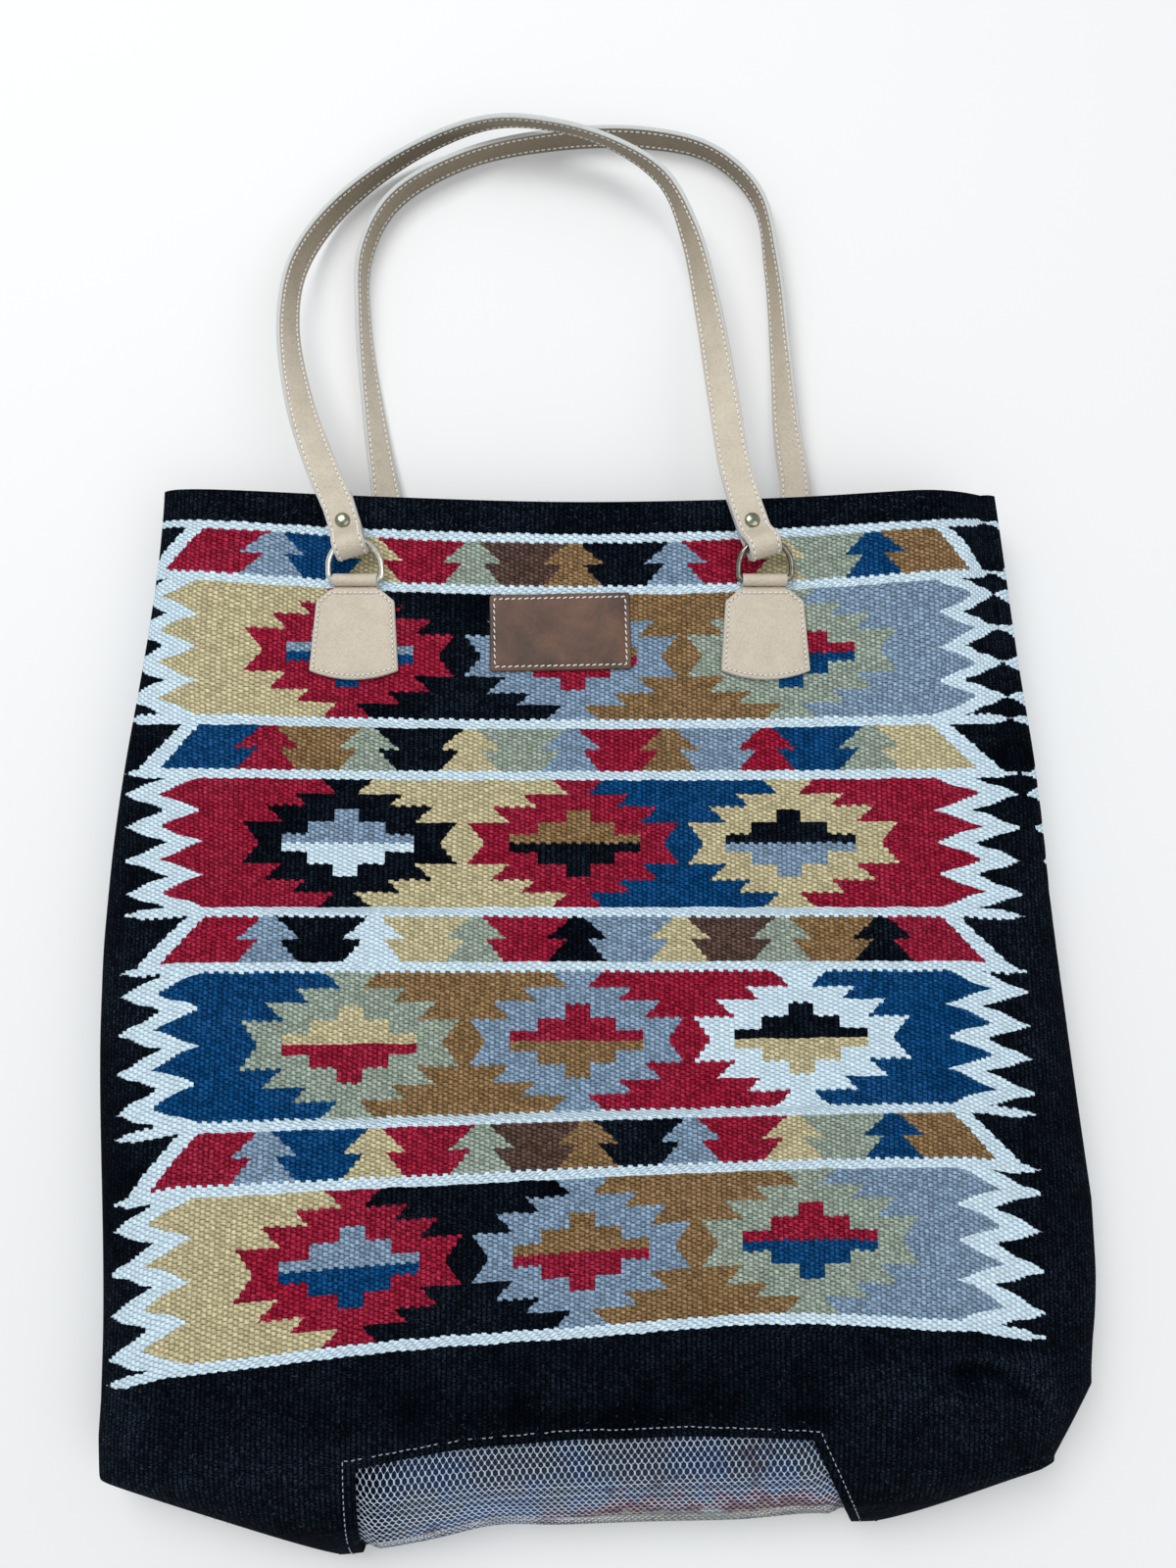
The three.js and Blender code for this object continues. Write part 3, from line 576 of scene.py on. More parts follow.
def half_section(row, side):
    """One side of a row, from the middle of its top round the seam to the middle of its bottom."""
    t = (np.arange(SECTION_STEPS + 1) / SECTION_STEPS) ** 1.2
    angle = math.pi / 2 * np.concatenate([t, 2 - t[-2::-1]])
    across = FLAT_SHARE + (1 - FLAT_SHARE) * np.abs(np.sin(angle)) ** (2 / SHOULDER)
    rise = np.cos(angle)
    z = mix(row["middle"], np.where(rise >= 0, row["top"], row["bottom"]), np.abs(rise))
    x = np.concatenate([[0], side * across * row["reach"][side], [0]])
    z = np.concatenate([[row["top"]], z, [row["bottom"]]])
    length = measured(np.column_stack([x, z]))
    return x, z, length, length[SECTION_STEPS + 1]


def skin_table(front):
    """Points over the bag's outside on an even grid of k and of the share from seam to seam."""
    shares = np.linspace(-1, 1, 2 * SKIN_COLUMNS + 1)
    table = np.zeros((SKIN_ROWS + 1, len(shares), 4))
    for i in range(SKIN_ROWS + 1):
        row = row_at(2 * i / SKIN_ROWS)
        for side in (-1, 1):
            pick = shares < 0 if side < 0 else shares >= 0
            x, z, length, edge = half_section(row, side)
            seam = edge + row["roll"][side]
            part = np.abs(shares[pick])
            if front:
                at = part * (seam - SEAM_GAP / 2)
                arc = at
            else:
                at = length[-1] - part * (length[-1] - seam - SEAM_GAP / 2)
                arc = part * BACK_PATTERN
            px = np.interp(at, length, x)
            u = px / row["reach"][side]
            table[i, pick, 0] = px
            table[i, pick, 1] = row["y"] + row["dip"] * u * u + row["lean"] * u - row["sag"] * u * u
            table[i, pick, 2] = np.interp(at, length, z) + (GAP if front else 0)
            table[i, pick, 3] = side * arc
    return table


SKIN = {front: skin_table(front) for front in (True, False)}


def skin(k, share, front):
    """Point (and distance from the middle) of the outside, for arrays of k and share."""
    table = SKIN[front]
    a = np.clip(np.asarray(k, float) / 2 * SKIN_ROWS, 0, SKIN_ROWS - 1e-6)
    b = np.clip((np.asarray(share, float) + 1) * SKIN_COLUMNS, 0, 2 * SKIN_COLUMNS - 1e-6)
    i, j = a.astype(int), b.astype(int)
    a, b = (a - i)[..., None], (b - j)[..., None]
    low = table[i, j] * (1 - b) + table[i, j + 1] * b
    high = table[i + 1, j] * (1 - b) + table[i + 1, j + 1] * b
    return low * (1 - a) + high * a


def skin_normal(k, share, front):
    """Outward direction of the bag's outside."""
    k, share = np.asarray(k, float), np.asarray(share, float)
    h = 0.008
    down = skin(k + h, share, front)[..., :3] - skin(np.maximum(k - h, 0), share, front)[..., :3]
    across = skin(k, share + h, front)[..., :3] - skin(k, share - h, front)[..., :3]
    return unit(np.cross(down, across)) * (1 if front else -1)


def cloth_at(k, share, front):
    """Point of the cloth's outer face, with its slack and dents, and the outward direction there."""
    points = skin(k, share, front)
    normals = skin_normal(k, share, front)
    outer = points[..., :3] + normals * relief(points, front)[..., None]
    outer[..., 2] = np.maximum(outer[..., 2], 0)
    return outer, normals, points[..., 3]


def share_at(k, x, front):
    """The share at which a row reaches x, on the way out from the middle."""
    way = 1 if x > 0 else -1
    shares = np.linspace(0, 1, 400)
    xs = np.abs(skin(np.full(400, k), shares * way, front)[:, 0])
    top = int(np.argmax(xs)) + 1
    return float(np.interp(abs(x), xs[:top], shares[:top])) * way


# How far the window's upper edge sags at its ends, its quarters and its middle, from the left.
WINDOW_SAG = (15, 6, 1, 0, 2)


def window_edge(x):
    """Y of the window's upper edge."""
    left, right = WINDOW_LEFT, WINDOW_RIGHT
    return WINDOW_TOP - np.interp(x, [-left, -left / 2, 0, right / 2, right], WINDOW_SAG)


def window_right(y):
    """X of the window's right side at a Y."""
    top = WINDOW_TOP - 2
    return WINDOW_RIGHT + WINDOW_FLARE * part((top - y) / (top - FOLD_Y))


def window_side(k):
    return window_right(row_at(k)["y"])


def cloth_panel(front):
    """Grid of the panel's outside: points, pattern places and which squares are cloth."""
    columns = (44, 84, 72 if front else 52)
    rows = (150, 30 if front else 16, 34)
    turn = 0.93
    total = sum(columns) + 1
    first, last = columns[0], columns[0] + columns[1]

    def shares(k):
        k = max(k, turn)
        left, right = share_at(k, -WINDOW_LEFT, front), share_at(k, window_side(k), front)
        return np.interp(np.arange(total), [0, first, last, total - 1], [-1, left, right, 1])

    fine = np.linspace(1.0, 1.6, 80)
    lines = np.array([skin(np.full(total, k), shares(k), front) for k in fine])
    top = np.zeros(total)
    for j in range(total):
        inside = min(max(j, first), last)
        short = lines[:, inside, 1] - window_edge(lines[:, inside, 0])
        top[j] = fine[int(np.argmax(short < 0))]
    top = np.convolve(np.pad(top, 4, "edge"), np.ones(9) / 9, "valid")
    top[: first + 1] = top[first]
    top[last:] = top[last]
    along = np.linspace(-1, 1, total)
    drooping = part((along - MOUTH_DROOP_FROM) / (1 - MOUTH_DROOP_FROM)) ** 2
    hem = (HEM_DIP * (1 - along**2) * front + MOUTH_DROOP * drooping) / FACE
    rise = [mix(hem, turn, t) for t in np.linspace(0, 1, rows[0] + 1)]
    rise += [turn + (top - turn) * i / rows[1] for i in range(1, rows[1] + 1)]
    rise += [top + (2 - top) * i / rows[2] for i in range(1, rows[2] + 1)]
    grid = np.array(rise)
    knots = np.linspace(0, 2, 401)
    share_table = np.array([shares(k) for k in knots])
    columns_of = np.array([np.interp(grid[:, j], knots, share_table[:, j]) for j in range(total)]).T
    points, normals, across = cloth_at(grid, columns_of, front)
    cloth = np.ones((len(grid) - 1, total - 1), bool)
    cloth[rows[0] + rows[1] :, first:last] = False
    place = (woven_column(grid, across, front), woven_row(grid, columns_of, across), np.zeros_like(grid))
    return points, normals, np.stack(place, -1), cloth


def woven_column(k, across, front):
    """How far across the pattern a point lies: motifs wander, and the ends are pulled about at the mouth."""
    v, out = k * FACE, np.abs(across)
    shift = np.zeros_like(across)
    band = np.searchsorted(STRIPES_AT, v)
    motifs = (-FIELD_EDGE, -DIAMOND_PITCH, 0, DIAMOND_PITCH, FIELD_EDGE)
    for i, (left, middle, right) in enumerate(WANDER):
        here = band == i + 1
        shift[here] = np.interp(across[here], motifs, [0, left, middle, right, 0])
    pulled = part((LEFT_PULL_END - v) / LEFT_PULL_OVER) * part((-across - LEFT_PULL_OUT) / LEFT_PULL_IN)
    shift -= LEFT_PULL * pulled
    if front:
        pulled = np.interp(across, RIGHT_PULL_AT, RIGHT_PULL_SHARE)
        shift += RIGHT_PULL * pulled * part((RIGHT_PULL_END - v) / RIGHT_PULL_OVER)
        seam = skin(k, np.ones_like(k), True)[..., 3]
        crowd = np.clip(PATTERN_HALF - seam, 0, None)
        shift -= crowd * part((across - FIELD_EDGE) / (seam - FIELD_EDGE))
    return across - shift


def woven_length(k):
    """Length of the cloth from the mouth down to k, along the middle of the front."""
    ks = np.linspace(1, 2, 60)
    return np.where(k < 1, k * FACE, np.interp(k, ks, FACE + measured(skin(ks, np.zeros(60), True)[:, :3])))


def woven_row(k, share, across):
    """How far down the pattern a point lies: uneven rows bow at the mouth and droop at their ends."""
    v = woven_length(k)
    stripe = np.arange(len(STRIPES_AT))
    even = FIRST_STRIPE + REPEAT * (stripe // 2) + NARROW * (stripe % 2)
    row = np.interp(v, [0, *STRIPES_AT, 2 * FACE], [0, *even, 2 * FACE])
    bow = ROW_BOW * part(np.minimum(v / BOW_OVER, (BOW_END - v) / BOW_FADE)) * share**2
    hump = ROW_HUMP * part((v - HUMP_FROM) / HUMP_OVER) * np.exp(-(((share - HUMP_AT) / HUMP_HALF) ** 2))
    droop = ROW_DROOP * np.maximum(np.abs(across) - DROOP_OUT, 0) * part((v - DROOP_FROM) / DROOP_OVER)
    return row + bow + hump - droop


# Slack: height and lengths of a wave and a ripple, the fuller right side, and how the fittings hold it flat.
WAVE, WAVE_X, WAVE_Y, RIPPLE, RIPPLE_X, RIPPLE_Y = 0.7, 37, 53, 0.5, 21, 44
FULL, FULL_X, FULL_Y, FULL_HALF_X, FULL_HALF_Y = 2.2, 245, 40, 40, 170
FLAT_Y, FLAT_OVER, FLAT_LEAST = 160, 110, 0.12


def relief(points, front):
    """How far the cloth stands off its plain form: slack waves, and dents where it was handled."""
    x, y = points[..., 0], points[..., 1]
    wave = WAVE * np.sin(x / WAVE_X + 0.8) * np.sin(y / WAVE_Y + 0.3)
    wave = wave + RIPPLE * np.sin(x / RIPPLE_X + y / RIPPLE_Y)
    wave = wave + FULL * np.exp(-(((x - FULL_X) / FULL_HALF_X) ** 2) - ((y - FULL_Y) / FULL_HALF_Y) ** 2)
    if front:
        wave = wave + dented(points, DENT_HEIGHT)
    return wave * np.clip(np.abs(y - FLAT_Y) / FLAT_OVER, FLAT_LEAST, 1)


DENT_HEIGHT, DENT_LIGHT = 5, 6


def dented(points, which):
    """Sum of the dents' heights, or of their painted light and shade, at points of the front."""
    total = np.zeros(points.shape[:-1])
    for dent in DENTS:
        x, y, dx, dy, turn = dent[:5]
        a, b = turned(points[..., 0] - x, points[..., 1] - y, -turn)
        total += dent[which] * np.exp(-((a / dx) ** 2) - (b / dy) ** 2)
    return total


# Middle, half sizes, turn, height and tone of each dent and broad place in the front; the tone is painted
# light above 0 and painted shade below.
DENTS = (
    (184, -194.5, 10, 6, 8, -5, -0.9),
    (195, -188, 27, 3.2, -4, 2.6, 0.9),
    (180, -183.5, 30, 3, 3, -1.6, -0.6),
    (206.5, -203, 12, 2.4, -36, -2.6, -0.9),
    (215, -198, 12, 6, -40, 2.2, 0.6),
    (174.5, -203, 3, 7, 0, 1.3, 0.6),
    (146, -206, 20, 9, 5, 1.8, 0.3),
    (-190, -235, 60, 30, 0, 0.5, 0.5),
    (180, -225, 45, 22, 20, 0.5, 0.5),
    (30, -212, 120, 9, 0, 0, -0.5),
)


def sheet_faces(outer, inner, cloth, bulge):
    """A thick sheet from two grids of points: both faces and a rounded edge all round."""
    rows, cols = outer.shape[:2]
    used = np.zeros((rows, cols), bool)
    for di in (0, 1):
        for dj in (0, 1):
            used[di : rows - 1 + di, dj : cols - 1 + dj] |= cloth
    number = -np.ones((rows, cols), int)
    number[used] = np.arange(used.sum())
    count = int(used.sum())
    quads = []
    for i, j in np.argwhere(cloth):
        quads.append((number[i, j], number[i + 1, j], number[i + 1, j + 1], number[i, j + 1]))
    points, inside = outer[used], inner[used]
    edges = {edge: quad for quad in quads for edge in zip(quad, quad[1:] + quad[:1])}
    edges = {edge: quad for edge, quad in edges.items() if edge[::-1] not in edges}
    near, rim = {}, {}
    for edge, quad in edges.items():
        for q in edge:
            near.setdefault(q, []).append(points[list(quad)].mean(0))
            rim.setdefault(q, len(rim))
    middle = np.zeros((len(rim), 3))
    for q, m in rim.items():
        through = unit(points[q] - inside[q])
        away = points[q] - np.mean(near[q], 0)
        away = unit(away - through * np.dot(away, through))
        middle[m] = (points[q] + inside[q]) / 2 + away * bulge
    faces = quads + [tuple(count + q for q in reversed(quad)) for quad in quads]
    for a, b in edges:
        ma, mb = 2 * count + rim[a], 2 * count + rim[b]
        faces.append((b, a, ma, mb))
        faces.append((mb, ma, count + a, count + b))
    return np.concatenate([points, inside, middle]), faces, used, list(rim)


def make_panel(name, node, front, material):
    points, normals, place, cloth = cloth_panel(front)
    if not front:
        points, normals, place, cloth = [grid[:, ::-1] for grid in (points, normals, place, cloth)]
    mesh_points, faces, used, rim = sheet_faces(points, points - normals * CLOTH, cloth, CLOTH_BULGE)
    flat = place[used]
    # Painted light and shade on the dents and on broad places of the front.
    tone = np.concatenate([dented(points[used], DENT_LIGHT) * front, np.zeros(len(flat) + len(rim))])
    marks = {"weave": np.concatenate([flat, flat, flat[rim]]), "dent_light": tone}
    return add_piece(name, mesh_points, faces, material, "bag", marks, node)


cloth_material = kilim("kilim")
front_cloth = make_panel("front_cloth", "front_panel", True, cloth_material)
back_cloth = make_panel("back_cloth", "back_panel", False, cloth_material)


# Thread, net and loose fibres: many short runs in one piece


def runs(paths, normals, width, height, sides=5):
    """Closed tubes along many paths at once, each given as the same number of points."""
    paths, normals = np.asarray(paths, float), np.asarray(normals, float)
    count, steps = paths.shape[:2]
    along = unit(np.gradient(paths, axis=1))
    aside = unit(np.cross(normals, along))
    up = unit(np.cross(along, aside))
    angle = 2 * math.pi * np.arange(sides) / sides
    width, height = np.broadcast_to(width, (steps,)), np.broadcast_to(height, (steps,))
    ring = (
        paths[:, :, None]
        + aside[:, :, None] * (np.cos(angle)[:, None] * width[:, None, None] / 2)
        + up[:, :, None] * (np.sin(angle)[:, None] * height[:, None, None] / 2)
    )
    faces = []
    for c in range(count):
        faces += closed_tube(steps, sides, c * steps * sides)
    return ring.reshape(-1, 3), faces


def stitched(name, lines, stitch, material, body, slant=0.0, skip=0.0):
    """Running stitches along lines of points, each with the direction that faces out. Some may be skipped."""
    pitch, long, thick = stitch
    bows, ups = [], []
    t = np.linspace(0, 1, 5)
    for line, normal in lines:
        length = measured(line)
        total = length[-1]
        count = max(1, round(total / pitch))
        for i in range(count):
            if rng.random() < skip:
                continue
            at = (i + 0.5) * total / count + (t - 0.5) * long * rng.uniform(0.9, 1.08)
            points = between(at, length, line)
            up = unit(between(at, length, normal))
            side = unit(np.cross(up, np.gradient(points, axis=0)))
            arch = thick * (0.6 - 1.1 * (2 * t - 1) ** 4)
            lean = slant * thick * (2 * t - 1)
            bows.append(points + up * arch[:, None] + side * lean[:, None])
            ups.append(up)
    points, faces = runs(bows, ups, thick * np.array([0.7, 1, 1, 1, 0.7]), thick * 0.8)
    add_piece(name, points, faces, material, body)


def stitched_round(name, line, side, stitch, material, slant=0.0):
    """Stitches along a closed line on a flat piece of the bag."""
    line = np.concatenate([line, line[:1]])
    stitched(name, [(line, np.array([(0.0, 0, side)] * len(line)))], stitch, material, "bag", slant)


# Leather


def swept(sections):
    """An open run of cross sections as one closed body."""
    return sections.reshape(-1, 3), closed_tube(*sections.shape[:2])


def band_profile(width, thick, corner=0.75, crown=0.12, sewn=None):
    """Cross section of a leather band, rounded at its edges and pressed in along its sewn lines.

    Returns its points, which of them are raw edge and which lie in a sewn line, where painted shade goes."""
    w, h = width / 2, thick / 2
    arc = np.linspace(math.pi / 2, 0, 5)
    half = [(-w + corner * (1 - math.sin(a)), h - corner * (1 - math.cos(a)), 0) for a in arc]
    if sewn:
        half += [(-w + sewn - 0.35, h, 0), (-w + sewn, h - 0.2, 1), (-w + sewn + 0.35, h, 0)]
    half += [(-w * t, h + crown * (1 - t * t), 0) for t in (0.5, 0.3, 0.1)]
    top = half + [(-x, z, seam) for x, z, seam in reversed(half)]
    points = np.array(top + [(-x, -z, seam) for x, z, seam in top])[::-1]
    edge = (np.abs(points[:, 0]) > w - 0.5 * corner).astype(float)
    return points[:, :2], edge, points[:, 2]


def follow(points, wide, profile):
    """Sections of a band along points, its width turned along the given directions."""
    along = unit(np.gradient(points, axis=0))
    wide = unit(wide - along * np.sum(wide * along, 1, keepdims=True))
    face = np.cross(along, wide)
    sections = points[:, None] + wide[:, None] * profile[:, 0, None] + face[:, None] * profile[:, 1, None]
    return sections, wide, face


def through(knots, parts):
    """A smooth line through points of any size, with even parts between each two."""
    knots = np.asarray(knots, float)
    padded = np.concatenate([[2 * knots[0] - knots[1]], knots, [2 * knots[-1] - knots[-2]]])
    out = []
    for i in range(len(knots) - 1):
        p = padded[i : i + 4]
        d = [max(1e-6, np.linalg.norm(p[j + 1, :3] - p[j, :3])) ** 0.5 for j in range(3)]
        m1 = d[1] * ((p[1] - p[0]) / d[0] - (p[2] - p[0]) / (d[0] + d[1]) + (p[2] - p[1]) / d[1])
        m2 = d[1] * ((p[2] - p[1]) / d[1] - (p[3] - p[1]) / (d[1] + d[2]) + (p[3] - p[2]) / d[2])
        for t in np.arange(parts) / parts:
            a = 2 * t**3 - 3 * t**2 + 1
            b = t**3 - 2 * t**2 + t
            out.append(a * p[1] + b * m1 + (1 - a) * p[2] + (t**3 - t**2) * m2)
    out.append(knots[-1])
    return np.array(out)


# Middle line of each strap from the left ring to the right one: x, y, z and how far it stands on edge.
FRONT_ROUTE = (
    (-127, 240, 47.5, 12),
    (-142, 280, 38, 38),
    (-152.5, 332, 26, 64),
    (-149.5, 372, 16, 74),
    (-127, 411, 9.2, 84),
    (-86, 439.5, 13, 97),
    (-45, 447, 24.5, 107),
    (-8, 442, 28, 109),
    (24, 430, 28.5, 103),
    (48.5, 410, 29.5, 88),
    (62, 378, 31, 66),
    (71, 330, 35.5, 43),
    (77, 280, 43, 20),
    (82, 240, 48, 6),
)
BACK_ROUTE = (
    (-101, 240, 10.2, 28),
    (-108, 280, 8.6, 52),
    (-116, 340, 8.4, 75),
    (-116, 379, 8.4, 80),
    (-101, 411, 8.4, 86),
    (-62, 436, 8.4, 91),
    (-10, 448, 8.4, 88),
    (40, 449, 8.4, 88),
    (77, 439.5, 8.4, 94),
    (101.5, 414, 8.4, 87),
    (109.5, 372, 8.4, 73),
    (113, 320, 8.4, 60),
    (115.5, 277, 8.6, 40),
    (119, 242, 10.2, 20),
)


def strap_end(x, side, lean):
    """One end of a strap: points from its tail round the ring and up its face, and the rivet's place."""
    shift = LOOP_SHIFT if lean else 0
    half = RING_WIDTH / 2
    reach = RING_HEIGHT - half + math.sqrt(half * half - shift * shift)
    bar = FRONT_BAR if side > 0 else BACK_BAR
    tilt = math.radians(RING_TILT)
    bow_y = BAR_Y + reach * math.cos(tilt)
    bow_z = bar + side * reach * math.sin(tilt)
    pressed = (STRAP + GAP) / 2
    room = LOOP_ROOM + STRAP / 2
    turn = math.radians(lean)

    def spot(d, z):
        return (x - shift - d * math.sin(turn), bow_y + d * math.cos(turn), z)

    def layer(d, which):
        t = clamp((d + LOOP_BACK) / (PINCH + LOOP_BACK))
        centre = mix(bow_z + side * LOOP_RISE, bar + side * FLAT_LIFT, ease(0, 1, t))
        return spot(d, centre + side * which * mix(room, pressed, t))

    turn_in = (5.5, 3.5, 1.5, 0)
    points = [layer(d, -1) for d in (*np.linspace(TAIL, PINCH, 9), *turn_in)]
    for a in -math.pi / 2 - np.linspace(0, math.pi, 17):
        points.append(spot(room * math.cos(a) - LOOP_BACK, bow_z + side * (LOOP_RISE + room * math.sin(a))))
    points += [layer(d, 1) for d in (*turn_in[::-1], *np.linspace(PINCH, FACE_END, 6))]
    wide = np.array([(-math.cos(turn), -math.sin(turn), 0)] * len(points))
    return np.array(points), wide, np.array(layer(RIVET_AT, 0))


def make_strap(name, tabs, side, route, leans, body, material):
    left, left_wide, left_rivet = strap_end(tabs[0], side, leans[0])
    right, right_wide, right_rivet = strap_end(tabs[1], side, leans[1])
    knots = [(*left[-1], 0), *route, (*right[-1], 0)]
    line = through(knots, 12)[1:-1]
    along = np.gradient(line[:, :3], axis=0)
    out = unit(np.stack([-along[:, 1], along[:, 0], np.zeros(len(line))], -1))
    turn = np.radians(line[:, 3])[:, None]
    wide = out * np.cos(turn) + np.array([0, 0, 1]) * np.sin(turn)
    points = np.concatenate([left, line[:, :3], right[::-1]])
    widths = np.concatenate([left_wide, wide, -right_wide[::-1]])
    for _ in range(3):
        widths[len(left) - 3 : -len(right) + 3] = smooth(widths)[len(left) - 3 : -len(right) + 3]
    profile, edge, seam = band_profile(STRAP_WIDTH, STRAP, sewn=STRAP_SEWN)
    sections, wide, face = follow(points, widths, profile)
    # Where the band stands on edge, its sewn lines lie further in.
    drift = np.concatenate([np.zeros(len(left)), np.sin(turn[:, 0]) ** 2, np.zeros(len(right))])[:, None]
    for _ in range(6):
        drift = smooth(drift)
    for half, far in ((-1, LOWER_DRIFT), (1, -UPPER_DRIFT)):
        near = np.abs(profile[:, 0] * half + STRAP_SEWN - STRAP_WIDTH / 2) < 0.4
        sections[:, near] += wide[:, None] * (drift * far)[:, :, None]
    mesh_points, faces = swept(sections)
    # Painted shade towards the tops of the handles.
    top_shade = np.array([ease(TOP_SHADE_FROM, TOP_SHADE_TO, y) for y in points[:, 1]])
    marks = {"rim": np.tile(edge, len(points)), "seam": np.tile(seam, len(points))}
    marks["top_shade"] = np.repeat(top_shade, len(edge))
    add_piece(name + "_leather", mesh_points, faces, material, body, marks, name)
    lines = []
    row = STRAP_WIDTH / 2 - STRAP_SEWN
    for across in (drift * LOWER_DRIFT - row, row - drift * UPPER_DRIFT):
        for layer in (-1, 1):
            deep = face * (layer * (STRAP / 2 - STRAP_SINK))
            lines.append((points + wide * across + deep, face * layer))
    stitched(name + "_stitches", lines, STRAP_STITCH, white_thread, body)
    return left_rivet, right_rivet


def smooth(values):
    padded = np.pad(values, ((1, 1), (0, 0)), "edge")
    return (padded[:-2] + padded[1:-1] * 2 + padded[2:]) / 4


def shrunk(corners, distance):
    """The corners of a convex outline, counter-clockwise, with every side moved in by a distance."""
    corners = np.asarray(corners, float)
    along = unit(np.roll(corners, -1, 0) - corners)
    inward = np.stack([-along[:, 1], along[:, 0]], -1)
    before = np.roll(inward, 1, 0)
    share = 1 + np.sum(inward * before, 1, keepdims=True)
    return corners + (inward + before) * distance / share


def rounded(corners, radius, counts):
    """A closed outline with rounded corners and a given number of points along each side."""
    corners = np.asarray(corners, float)
    after = np.roll(corners, -1, 0) - corners
    sides = np.linalg.norm(after, axis=1)
    line = []
    for i, corner in enumerate(corners):
        cut_in, cut_out = min(radius, 0.4 * sides[i - 1]), min(radius, 0.4 * sides[i])
        start, end = corner - unit(after[i - 1]) * cut_in, corner + unit(after[i]) * cut_out
        for t in np.linspace(0, 1, 6):
            line.append((1 - t) ** 2 * start + 2 * t * (1 - t) * corner + t * t * end)
        onward = (i + 1) % len(corners)
        stop = corners[onward] - unit(after[i]) * cut_out
        line += [mix(end, stop, t) for t in np.arange(1, counts[i]) / counts[i]]
    return np.array(line)


def slab(corners, radius, thick, channel):
    """A leather piece from its corners, counter-clockwise: round edges, a sewn channel, fuller inside."""
    corners = np.asarray(corners, float)
    counts = [max(1, round(d / 1.5)) for d in np.linalg.norm(np.roll(corners, -1, 0) - corners, axis=1)]
    r = min(0.8, thick / 2.4)
    full = thick + 0.12
    steps = [(0.9 * r, 0), (0.3 * r, 0.3 * r), (0, r)]
    steps += [(inset, thick - z) for inset, z in reversed(steps)]
    steps += [(channel - 0.4, thick - 0.02), (channel, thick - 0.25), (channel + 0.4, thick - 0.02)]
    rings = []
    for inset, z in (*steps, (channel + 3, full)):
        ring = rounded(shrunk(corners, inset), max(0.3, radius - inset / 2), counts)
        rings.append(np.column_stack([ring, np.full(len(ring), z)]))
    sewn = rings[7] + (0, 0, 0.02)
    centre = np.mean(corners, 0)
    middle, under = np.append(centre, full), np.append(centre, 0)
    rings = [mix(rings[0], under, 0.5), *rings, *[mix(rings[-1], middle, t) for t in (0.3, 0.6, 0.85)]]
    count = len(sewn)
    points = np.concatenate([*rings, [under], [middle]])
    faces = tube(len(rings), count)
    last = (len(rings) - 1) * count
    faces += [((j + 1) % count, j, len(points) - 2) for j in range(count)]
    faces += [(last + j, last + (j + 1) % count, len(points) - 1) for j in range(count)]
    # The sewn channel is marked for painted shade.
    rim, seam = [
        np.concatenate([np.repeat([float(i in marked) for i in range(len(rings))], count), np.zeros(2)])
        for marked in ((2, 3, 4), (8,))
    ]
    return points, faces, {"rim": rim, "seam": seam}, sewn


def place_tab(points, x, side):
    points = np.array(points, float)
    if side < 0:
        points = points * (-1, 1, -1)
    return points + (x, BAR_Y, FRONT_FACE + GAP if side > 0 else BACK_LIFT - GAP)


def make_tab(name, x, side, material):
    plate = 2 * TAB_LEATHER
    low = -TAB_LENGTH
    bottom = [(w * TAB_BOTTOM / 2, low - TAB_SAG * (1 - w * w)) for w in np.linspace(-1, 1, 9)]
    slope = [(TAB_SHOULDER / 2, -TAB_SLOPE), (TAB_TOP / 2, -TAB_START)]
    corners = [*[(-x, y) for x, y in reversed(slope)], *bottom, *slope]
    points, faces, marks, sewn = slab(corners, 0.8, plate, 1.9)
    # The loop is a strip of the same leather that comes out from under the plate, round the bar and back.
    r = TAB_EYE - TAB_LEATHER / 2
    flat = TAB_LEATHER / 2
    start = math.asin((plate - flat - TAB_EYE) / r)
    arc = np.linspace(-math.pi / 2, math.pi - start, 22)
    line = [(0, -9, flat), (0, -5, flat), (0, -2, flat)]
    line += [(0, r * math.cos(a), TAB_EYE + r * math.sin(a)) for a in arc]
    line += [(0, -5.5, plate - flat + 0.1), (0, -7.5, plate - flat)]
    line = np.array(line)
    profile, edge, _ = band_profile(TAB_LOOP, TAB_LEATHER, 0.4, 0.0)
    sections, _, _ = follow(line, np.array([(1.0, 0, 0)] * len(line)), profile)
    loop_points, loop_faces = swept(sections)
    shift = len(points)
    all_points = place_tab(np.concatenate([points, loop_points]), x, side)
    all_faces = faces + [tuple(shift + i for i in f) for f in loop_faces]
    loop_marks = {"rim": np.tile(edge, len(line)), "seam": np.zeros(len(loop_points))}
    marks = {key: np.concatenate([values, loop_marks[key]]) for key, values in marks.items()}
    add_piece(name + "_leather", all_points, all_faces, material, "bag", marks, name)
    stitched_round(name + "_stitches", place_tab(sewn, x, side), side, TAB_STITCH, tab_thread)


